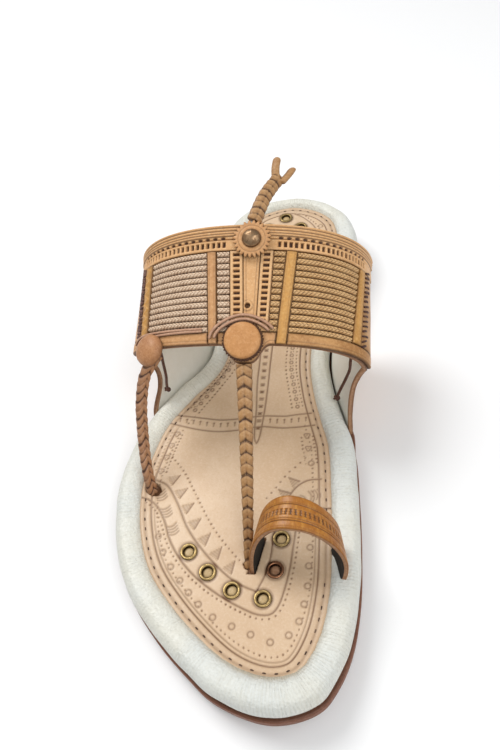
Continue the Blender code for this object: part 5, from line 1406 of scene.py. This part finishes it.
def make_rosette():
    """Toothed disc of leather with a pressed ring, and a faceted bronze stud."""
    centre, axis = band_seat(ROSETTE_AT, 0.0014)
    sides, teeth = 24 * 12, 24
    angle = np.linspace(0, 2 * pi, sides, endpoint=False)
    saw = np.abs((angle * teeth / (2 * pi)) % 1 - 0.5) * 2
    profile = ((7.0, 0.0), (8.35, 0.15), (8.55, 0.7), (8.45, 1.15), (7.9, 1.45), (7.0, 1.62), (6.3, 1.72), (5.9, 1.60),
               (5.6, 1.78), (5.0, 1.95), (4.5, 1.98), (3.9, 1.7), (2.0, 1.7), (0.4, 1.7))
    toothed = np.array([0, 1, 1, 1, 0.75, 0.2, 0, 0, 0, 0, 0, 0, 0, 0])[:, None]
    wobble = -0.15 * toothed * (1 - saw) ** 1.2 + 0.006 * np.sin(angle * 5 + 1) * toothed
    dark = 0.80 * toothed * smooth((0.55 - saw) / 0.4) + np.array([1, .8, .4, 0, 0, 0, 0, .45, 0, 0, 0, .8, 1, 1])[:, None]
    disc = turned_disc("rosette_disc", profile, sides, centre, axis, TAN, wobble, np.clip(dark, 0, 1))
    settle(disc, "strap", "rosette")
    facets = 5
    turn = (angle[::4] * facets / (2 * pi)) % 1 - 0.5
    cut = 1 / np.cos(turn * 2 * pi / facets) - 1
    profile = ((3.55, 1.75), (3.9, 2.05), (4.0, 2.5), (3.75, 2.95), (3.2, 3.45), (2.5, 3.85), (1.8, 4.12), (1.0, 4.28),
               (0.3, 4.32))
    strength = np.array([0, 0, 0, 0.15, 0.5, 0.9, 1.0, 1.0, 1.0])[:, None]
    stud = turned_disc("rosette_stud_dome", profile, len(turn), centre, axis, BRONZE, (cut - 0.10) * strength,
                       0.35 * smooth((0.10 - np.abs(np.abs(turn) - 0.5)) / 0.1) * strength + (strength <= 0) * 0.5)
    settle(stud, "brass", "rosette_stud")


def make_buttons():
    """Front button with a frayed dark edge and the domed side button."""
    sides = 240
    angle = np.linspace(0, 2 * pi, sides, endpoint=False)
    fray = wander(angle, (2 * pi / 37, 0.5), (2 * pi / 52, 0.5), (2 * pi / 23, 0.3))
    centre, axis = band_seat(FRONT_BUTTON_AT, 0.0011)
    profile = ((7.6, 0.0), (8.75, 0.15), (8.85, 0.75), (8.6, 1.2), (8.05, 1.45), (7.95, 1.75), (7.9, 2.2), (7.65, 2.6),
               (7.0, 2.85), (5.8, 3.02), (4.0, 3.12), (2.0, 3.16), (0.4, 3.17))
    rough = np.array([0, 1, 1.2, 1.0, 0.3, 0.1, 0.1, 0.05, 0, 0, 0, 0, 0])[:, None]
    # dark edge: partly the burnt cut edge, partly painted shade under the disc's rim
    dark = np.array([1, 1, 1, 0.95, 0.95, 0.6, 0.25, 0.1, 0, 0, 0, 0, 0])[:, None]
    disc = turned_disc("front_button_leather", profile, sides, centre, axis, BUTTON, 0.034 * fray * rough, dark)
    settle(disc, "strap", "front_button")
    centre, axis = band_seat(SIDE_BUTTON_AT, 0.0004)
    profile = ((6.0, 0.0), (6.8, 0.3), (7.15, 1.0), (7.2, 1.8), (6.95, 2.7), (6.35, 3.5), (5.4, 4.2), (4.1, 4.75), (2.6, 5.1),
               (1.1, 5.28), (0.3, 5.3))
    pleat = np.array([1, 1, 1, 0.9, 0.7, 0.4, 0.2, 0, 0, 0, 0])[:, None]
    folds = wander(angle, (2 * pi / 9, 0.5), (2 * pi / 14, 0.5))
    dark = np.array([1, 0.9, 0.5, 0.2, 0.08, 0, 0, 0, 0, 0, 0])[:, None]
    dome = turned_disc("side_button_leather", profile, sides, centre, axis, SIDE_SKIN, 0.014 * folds * pleat, dark)
    settle(dome, "strap", "side_button")


RIDGE_TURN_LENGTH = 0.5 * pi * BAND_HALF_SPAN


def laid_cord(stops, width, thick, seat, dark=0.0, sides=12):
    """Thin cord along (turn, across) stops on the strap; seat is the height of its middle, in millimetres."""
    stops = smooth_path(np.asarray(stops) * (RIDGE_TURN_LENGTH, BAND_WIDTH), 0.45 * MM)[0] / (RIDGE_TURN_LENGTH, BAND_WIDTH)
    turn, across = stops.T
    seat = np.interp(np.linspace(0, 1, len(turn)), np.linspace(0, 1, np.size(seat)), np.atleast_1d(seat))
    path = band_point(turn, across, seat * MM)
    hint = np.cross(tangents(path), band_normal(turn, across))
    ends = np.minimum(np.arange(len(path)), np.arange(len(path))[::-1]) * 0.45
    taper = np.sqrt(np.clip(1 - (1 - np.clip(ends / (0.5 * width), 0.0, 1)) ** 2, 0.12, 1))
    return tube_part(path, width * MM * taper, thick * MM * taper, hint, sides, dark)


def make_arches():
    """Two thin thongs over the front button; their medial ends close in a round tip."""
    tips = {"thong_arch_inner": (1.5, 84, 66), "thong_arch_outer": (3.5, 86, 66)}
    for name, (beyond, lateral_end, medial_end) in tips.items():
        angle = np.linspace(-radians(lateral_end), radians(medial_end), 15)
        reach = 8.6 + beyond + 2.6 * np.abs(np.sin(angle)) ** 4
        turn = FRONT_BUTTON_AT[0] + reach * MM * np.sin(angle) / RIDGE_TURN_LENGTH
        across = FRONT_BUTTON_AT[1] + reach * MM * np.cos(angle) / BAND_WIDTH
        part = laid_cord(np.stack([turn, across], axis=1), 1.45, 1.5, 1.5)
        # painted shade along both sides of each thong
        edge = np.tile(np.abs(np.cos(np.linspace(0, 2 * pi, 12, endpoint=False))) ** 4, len(part[0]) // 12)
        obj = make_mesh(name + "_leather", part[0], part[1], THONG_TAN, layers={"dark": 0.75 * edge})
        settle(face_out(obj), "strap", name)


def make_front_cords():
    """Two cords between the woven panel and the plain border, swept down to the side button."""
    routes = (((-0.185, 0.108), (-0.30, 0.106), (-0.42, 0.100), (-0.53, 0.088), (-0.605, 0.052), (-0.640, 0.010)),
              ((-0.185, 0.128), (-0.30, 0.128), (-0.42, 0.126), (-0.55, 0.122), (-0.632, 0.098), (-0.672, 0.050)))
    parts = [laid_cord(route, 1.25, 1.1, 0.75, 0.05) for route in routes]
    points, faces, dark = join_meshes(parts)
    # painted shade along both sides of each cord, standing in for the shadow lines between them
    edge = np.tile(np.abs(np.cos(np.linspace(0, 2 * pi, 12, endpoint=False))) ** 4, len(points) // 12)
    settle(face_out(make_mesh("front_cords", points, faces, THONG_TAN, layers={"dark": 0.8 * edge})), "thong")


def make_lacing():
    """Dark thongs wound over the edges beside the outer strips."""
    parts = []
    left, right = STRIP_EDGES["side_medial"]
    for across in np.arange(0.10, 0.79, 0.046):
        lean, reach = RANDOM.uniform(-0.004, 0.004), RANDOM.uniform(0.060, 0.095)
        near = strip_turn(left, across) + 0.008
        stops = ((near, across + lean), (near + 0.5 * reach, across + 0.017), (near + reach, across + 0.032 - lean))
        parts.append(laid_cord(stops, RANDOM.uniform(0.80, 1.20), 0.75, (0.15, 0.60, 0.15), RANDOM.uniform(0, 0.4)))
    points, faces, dark = join_meshes(parts)
    settle(face_out(make_mesh("lacing_medial", points, faces, THONG_DARK, layers={"dark": dark})), "thong")
    parts = []
    left, right = STRIP_EDGES["side_lateral"]
    for number, across in enumerate(np.arange(0.125, 0.775, 0.036)):
        near = strip_turn(right, across) - 0.010
        for reach, lift in ((0.030, 0.75), (0.055, 0.60)):
            lean = RANDOM.uniform(-0.010, 0.010)
            stops = ((near + 0.004, across + lean), (near - 0.5 * reach, across + 0.013 + lean),
                     (near - reach, across + 0.002 - lean))
            parts.append(laid_cord(stops, 1.3, 0.95, (0.1, lift, 0.1), RANDOM.uniform(0, 0.5)))
    points, faces, dark = join_meshes(parts)
    settle(face_out(make_mesh("lacing_lateral", points, faces, LACE, layers={"dark": dark})), "thong")


def plait(name, stops, face, pitch, slope, width, thick, material, node, taper=(1.0, 1.0), apex=1, lift_by=0.30,
          cut=0.35):
    """Flat plait of links pulled through each other: stacked chevrons, each lifted over the next, with painted shade in
    the chevron lines, the slits and under each lip, and a painted highlight on each lifted lip.

    Sizes are in millimetres; face is the way its flat side looks, and apex is 1 where the chevrons point
    to the start of the route.
    """
    path, length = smooth_path(stops, 0.30 * MM)
    ahead = tangents(path)
    wide = np.cross(ahead, face)
    wide /= np.linalg.norm(wide, axis=1)[:, None]
    up = np.cross(wide, ahead)
    run = np.linspace(0, length / MM, len(path))[:, None]
    scale = np.interp(run, (0, run[-1, 0]), taper)
    angle = np.linspace(0, 2 * pi, 56, endpoint=False)[None]
    u = np.sign(np.cos(angle)) * np.abs(np.cos(angle)) ** 0.75
    v = np.sign(np.sin(angle)) * np.abs(np.sin(angle)) ** 0.9
    phase = (run - apex * slope * scale * width / 2 * np.abs(u) ** 1.15) / pitch
    phase = phase + 0.07 * np.sin(np.floor(phase) * 2.3)
    f = phase - np.floor(phase)
    f = f if apex > 0 else 1 - f
    lift = lift_by * (1 - f) ** 0.8 - cut * ridge(np.minimum(f, 1 - f), 0.06)
    slit = ridge(u, 0.10) * ridge(np.minimum(f, 1 - f), 0.16)
    lift = lift - 0.35 * slit + 0.06 * np.sin(6 * pi * u) * (1 - f)
    bulge = 1 + 0.015 * np.cos(2 * pi * (f - 0.25)) * np.abs(u)
    half_wide = (0.5 * width * scale * bulge - 0.3) * u
    half_up = (0.5 * thick * scale - 0.45) * v * (1 - 0.18 * ridge(u, 0.12))
    out = np.stack([u * 0.35 + 0 * run, v + 0 * run], axis=-1)
    out /= np.linalg.norm(out, axis=-1)[..., None]
    points = (path[:, None] + wide[:, None] * ((half_wide + out[..., 0] * lift) * MM)[..., None]
              + up[:, None] * ((half_up + out[..., 1] * lift) * MM)[..., None])
    # painted shade: dark chevron lines where one link dips under the next, darker towards each link's lower end and in
    # the slits; darker at the sides
    line = ridge(np.minimum(f, (1 - f) * 0.8), 0.075)
    dark = 0.85 * line + 0.22 * smooth((f - 0.55) / 0.4) + 0.8 * slit + 0.30 * np.abs(u) ** 6 + 0.12 * ridge(u, 0.05)
    sides = angle.shape[1]
    faces = list(grid_faces(len(path), sides, wrap_columns=True))
    faces += [list(range(sides)), list(range((len(path) - 1) * sides, len(path) * sides))]
    # painted highlight just behind each chevron line, on the lifted lip
    highlight_and_tone = 0.30 * ridge(f - 0.22, 0.14) * (1 - line)
    layers = {"dark": np.clip(dark, 0, 1), "highlight_and_tone": highlight_and_tone}
    obj = make_mesh(name, points.reshape(-1, 3), faces, material, layers=layers)
    return settle(face_out(obj), "golden", node)


CENTRE_TAPER = 0.56
SIDE_BRAID_AHEAD = 0.0028
SIDE_ROUTE = ((-0.0407, -0.0156, 0.0550), (-0.0432, -0.0239, 0.0460), (-0.0434, -0.0328, 0.0370),
              (-0.0424, -0.0423, 0.0290), (-0.0410, -0.0493, 0.0230))
TAIL_SPLIT = (0.0196, 0.0590, 0.1026)
TAIL_TIPS = ((-0.0010, 0.0075, 0.0050), (0.0055, 0.0070, -0.0010))


def deck_point(along, across, height):
    y = float(along_to_y(along))
    return np.array((across * BALL_WIDTH, y, float(insole_top(y)) + height))


def make_braids():
    start = band_point(TONGUE_AT, front_edge(TONGUE_AT) - 2 * ACROSS_GAP, np.array(-0.0010))
    foot = deck_point(*CENTRE_FOOT, -0.0019)
    middle = (start + foot) / 2 + (0.0009, -0.002, 0.004)
    plait("centre_plait", (start, middle, foot), (0.05, -0.55, 0.8), 4.6, 0.55, 7.2, 4.6, BRAID, "centre_braid",
          (1.03, CENTRE_TAPER))
    start = band_point(SIDE_BUTTON_AT[0], -SIDE_BRAID_AHEAD / BAND_WIDTH, np.array(-0.0030))
    foot = deck_point(*SIDE_FOOT, -0.0016)
    plait("side_plait", (start,) + SIDE_ROUTE + (foot,), (0.90, -0.45, 0.35), 4.0, 1.25, 6.4, 5.2, SIDE_BRAID_SKIN,
          "side_braid", (0.95, 0.84))
    start = band_point(0.062, BORDER_EDGE + 4 * ACROSS_GAP, np.array(0.0010))
    split = np.array(TAIL_SPLIT)
    middle = (start + split) / 2 + (-0.0008, 0.0, 0.0012)
    plait("tail_plait", (start, middle, split), (0.1, -0.75, 0.35), 3.1, 0.34, 7.2, 4.4, BRAID, "tail_braid",
          (1.0, 0.90), apex=-1, lift_by=0.12, cut=0.20)
    parts = []
    for tip, width in zip(TAIL_TIPS, (3.9, 4.4)):
        end = split + tip
        root = split + (0.0012 if tip[0] > 0 else -0.0012, -0.003, -0.0006)
        bend = (root + end) / 2 + (0.0006 * np.sign(tip[0]), 0, 0.0004)
        path = smooth_path((root, bend, end), 0.25 * MM)[0]
        far = np.arange(len(path))[::-1] * 0.25
        close = np.sqrt(np.clip(1 - (1 - np.clip(far / (0.45 * width), 0, 1)) ** 2, 0.02, 1))
        parts.append(tube_part(path, width * MM * close, 2.1 * MM * np.sqrt(close), (1, 0, 0.3), 20, 0.08))
    points, faces, dark = join_meshes(parts)
    settle(face_out(make_mesh("tail_tips", points, faces, BRAID, layers={"dark": dark})), "golden")


RING_MIDDLE = 0.263
RING_FRONT_ALONG = 0.1860
RING_SKEW = 0.09
RING_LEAN = 0.0075
RING_ROUNDNESS = 2.22


def ring_point(angle, share, lift):
    """Points of the toe ring: angle over the arch, share across its strap, lift from its middle face."""
    angle, share, lift = np.broadcast_arrays(angle, share, lift)
    spread = np.abs(np.cos(angle)) ** RING_ROUNDNESS + np.abs(np.sin(angle)) ** RING_ROUNDNESS
    radius = spread ** (-1 / RING_ROUNDNESS)
    front = along_to_y(RING_FRONT_ALONG)
    sink = INSOLE_THICK - 0.0002
    half = 0.5 * TOE_RING_SPAN + lift
    high = TOE_RING_HIGH + sink - 0.5 * TOE_RING_THICK + lift
    rise = radius * np.sin(angle)
    medial = np.cos(angle) > 0
    bow = np.where(medial, 11.2 * rise * (1 - rise) - 1.8 * (1 - rise) ** 2, 0.0) * MM
    cone = np.where(medial, 3.6, 2.8) * (0.5 - share) * MM * np.abs(np.cos(angle)) ** 0.5
    x = RING_MIDDLE * BALL_WIDTH + half * radius * np.cos(angle) + bow + np.sign(np.cos(angle)) * cone
    y = front - RING_SKEW * half * radius * np.cos(angle) + RING_LEAN * radius * np.sin(angle) + share * TOE_RING_WIDTH
    return np.stack([x, y, insole_top(front) - sink + high * radius * np.sin(angle)], axis=-1)


def make_toe_ring():
    """Loop for the big toe: brown leather tooled with grooves and leaf stamps, black inside."""
    angle = np.linspace(0, pi, 260)[:, None]
    share = np.concatenate([[0, 0.006, 0.02, 0.04], np.linspace(0.06, 0.94, 84), [0.96, 0.98, 0.994, 1]])[None]
    outer = ring_point(angle, share, 0.5 * TOE_RING_THICK)
    run = np.zeros(len(angle))
    middle = outer[:, 50]
    run[1:] = np.cumsum(np.linalg.norm(np.diff(middle, axis=0), axis=1)) / MM
    height, dark = np.zeros(outer.shape[:2]), np.zeros(outer.shape[:2])
    for place, width, depth, darkening in ((0.075, 0.012, 0.12, 0.20), (0.245, 0.014, 0.28, 0.75), (0.315, 0.012, 0.18, 0.45),
                                       (0.735, 0.013, 0.26, 0.70), (0.785, 0.010, 0.12, 0.30)):
        height -= depth * ridge(share - place, width)
        dark += darkening * ridge(share - place, width * 1.1)
    pitch = 1.95
    cell = (run[:, None] - 0.5 * run[-1]) / pitch + 0.5
    inside = np.abs(cell - 0.5) < 13.5
    u = (cell - np.floor(cell) - 0.5) * pitch
    v = (share - 0.50) * TOE_RING_WIDTH / MM
    lean = RANDOM.uniform(-0.12, 0.12, 60)[np.clip(np.floor(cell).astype(int) + 30, 0, 59)]
    u = u - lean * v
    stem = smooth((0.45 - np.abs(u)) / 0.3) * smooth((1.45 - np.abs(v)) / 0.4)
    teeth = smooth((0.80 - np.abs(u)) / 0.3) * smooth(np.cos(2 * pi * v / 1.15) / 0.8) * smooth((1.45 - np.abs(v)) / 0.4)
    leaf = np.maximum(stem, 0.8 * teeth) * inside
    fade = smooth((run[-1] * 0.5 - np.abs(run - 0.5 * run[-1])) / 9.0)[:, None]
    height -= 0.30 * leaf * fade
    dark += 0.90 * leaf * fade * RANDOM.uniform(0.7, 1.0, 60)[np.clip(np.floor(cell).astype(int) + 30, 0, 59)]
    edge = np.minimum(share, 1 - share) * TOE_RING_WIDTH / MM
    height -= 0.55 * (1 - np.sqrt(1 - np.clip(1 - edge / 0.8, 0, 1) ** 2))
    dark += 0.25 * np.clip(1 - edge / 1.0, 0, 1)
    outer = ring_point(angle, share, 0.5 * TOE_RING_THICK + height * MM)
    seam = ring_point(angle, share[:, ::-1], -0.22 * TOE_RING_THICK)
    inner = ring_point(angle, mix(0.02, 0.98, share[:, ::-1]), -0.5 * TOE_RING_THICK)
    wall = [ring_point(angle, np.array([[edge_share]]), lift * MM + 0 * angle)
            for edge_share, lift in ((1.0, 0.3), (1.0, -0.4), (1.0, -0.75), (0.985, -1.15))]
    front = [ring_point(angle, np.array([[edge_share]]), lift * MM + 0 * angle)
             for edge_share, lift in ((0.015, -1.15), (0.0, -0.75), (0.0, -0.4), (0.0, 0.3))]
    ring = np.concatenate([outer] + wall + [inner] + front, axis=1)
    rows, columns = ring.shape[:2]
    faces = list(grid_faces(rows, columns, wrap_columns=True)) + [list(range(columns)),
                                                                   list(range((rows - 1) * columns, rows * columns))]
    wide = share.shape[1]
    place = np.tile(np.arange(columns), rows - 1)
    skin = place < wide - 1
    black = (place >= wide + 2) & (place < columns - 3)
    picks = np.concatenate([np.where(skin, 0, np.where(black, 2, 1)), [1, 1]])
    darkening = np.zeros((rows, columns))
    darkening[:, :wide] = np.clip(dark, 0, 1)
    obj = make_mesh("toe_loop", ring.reshape(-1, 3), faces, [RING_SKIN, CUT_EDGE, BLACK_LINING], picks, {"dark": darkening})
    settle(face_out(obj), "golden", "toe_ring")


THONG_SEATS = {"lateral": (-0.5144, 0.0515), "medial": (0.6925, 0.0549)}
THONG_END_LATERAL = ((-0.0353, -0.0038, 0.0555), (-0.0360, -0.0040, 0.0480), (-0.0368, -0.0042, 0.0390),
                     (-0.0380, -0.0042, 0.0330), (-0.0386, -0.0040, 0.0293))
THONG_END_MEDIAL = ((0.0508, -0.0050, 0.0505), (0.0503, -0.0050, 0.0445), (0.0481, -0.0050, 0.0366),
                    (0.0457, -0.0052, 0.0295), (0.0443, -0.0055, 0.0250))
KNOT_WIDTH = 0.0030


def make_thong_ends():
    """Free ends of the thongs inside the strap, each with its small overhand knot."""
    for side, route in (("lateral", THONG_END_LATERAL), ("medial", THONG_END_MEDIAL)):
        seat = band_point(*THONG_SEATS[side], np.array(-(BAND_STACK + GAP + 0.5 * THONG_END_WIDTH)))
        path, length = smooth_path((seat,) + route, 1.6 * MM)
        data = bpy.data.curves.new(f"thong_end_{side}_line", "CURVE")
        data.dimensions = "3D"
        data.bevel_depth = 0.5 * THONG_END_WIDTH
        data.bevel_resolution = 4
        data.use_fill_caps = True
        spline = data.splines.new("POLY")
        spline.points.add(len(path) - 1)
        for place, point in zip(spline.points, path + MOVE):
            place.co = (*point, 1.0)
        data.materials.append(THONG_DARK)
        line = bpy.data.objects.new(f"thong_end_{side}_line", data)
        bpy.context.scene.collection.objects.link(line)
        settle(line, "thong", f"thong_end_{side}")
        ahead = tangents(path)[-1]
        centre = path[-1] + ahead * (0.5 * KNOT_WIDTH + GAP)
        across = np.cross(ahead, (0, 1, 0))
        across /= np.linalg.norm(across)
        over = np.cross(ahead, across)
        t = np.linspace(0, 2 * pi, 56, endpoint=False)
        reach = KNOT_WIDTH * (0.30 + 0.10 * np.cos(3 * t))
        loop = (centre + across * (reach * np.cos(2 * t))[:, None] + over * (0.45 * reach * np.sin(2 * t))[:, None]
                + ahead * (0.27 * KNOT_WIDTH * np.sin(3 * t))[:, None])
        frame_path = np.vstack([loop[-1:], loop, loop[:1]])
        tan, wide, deep = frames(frame_path, ahead + 0.2 * across)
        wide, deep = wide[1:-1], deep[1:-1]
        angle = np.linspace(0, 2 * pi, 10, endpoint=False)
        ring = loop[:, None] + (wide[:, None] * np.cos(angle)[:, None] + deep[:, None] * np.sin(angle)[:, None]) * 0.55 * MM
        knot = make_mesh(f"thong_knot_{side}_loop", ring.reshape(-1, 3), grid_faces(56, 10, True, True), THONG_DARK)
        settle(face_out(knot), "thong", f"thong_knot_{side}")


make_thong_ends()
make_rosette()
make_buttons()
make_arches()
make_front_cords()
make_lacing()
make_braids()
make_toe_ring()


def make_surroundings():
    """Pale floor and soft studio light, even as in the photo."""
    floor = bpy.data.materials.new("pale floor")
    floor.use_nodes = True
    shader = floor.node_tree.nodes["Principled BSDF"]
    shader.inputs["Base Color"].default_value = (0.90, 0.90, 0.90, 1.0)
    shader.inputs["Roughness"].default_value = 0.6
    mesh = bpy.data.meshes.new("floor")
    reach = 3.0
    mesh.from_pydata([(-reach, -reach, 0), (reach, -reach, 0), (reach, reach, 0), (-reach, reach, 0)], [], [(0, 1, 2, 3)])
    mesh.materials.append(floor)
    plane = bpy.data.objects.new("floor", mesh)
    bpy.context.scene.collection.objects.link(plane)
    # name, place, size and power
    lights = (("key_light", (-0.60, 0.45, 1.05), 0.7, 10.6), ("front_light", (0.42, -0.55, 0.95), 0.8, 5.4),
              ("side_light", (0.80, 0.05, 0.80), 0.9, 2.0))
    for name, place, size, power in lights:
        light = bpy.data.lights.new(name, "AREA")
        light.shape = "DISK"
        light.size = size
        light.energy = power
        lamp = bpy.data.objects.new(name, light)
        lamp.location = place
        lamp.rotation_euler = (Vector((0, 0, 0.03)) - Vector(place)).to_track_quat("-Z", "Y").to_euler()
        bpy.context.scene.collection.objects.link(lamp)
    bpy.context.scene.view_settings.view_transform = "Standard"
    world = bpy.data.worlds.new("studio")
    bpy.context.scene.world = world
    world.use_nodes = True
    world.node_tree.nodes["Background"].inputs["Color"].default_value = (0.96, 0.98, 1.0, 1.0)
    world.node_tree.nodes["Background"].inputs["Strength"].default_value = 0.36


make_surroundings()
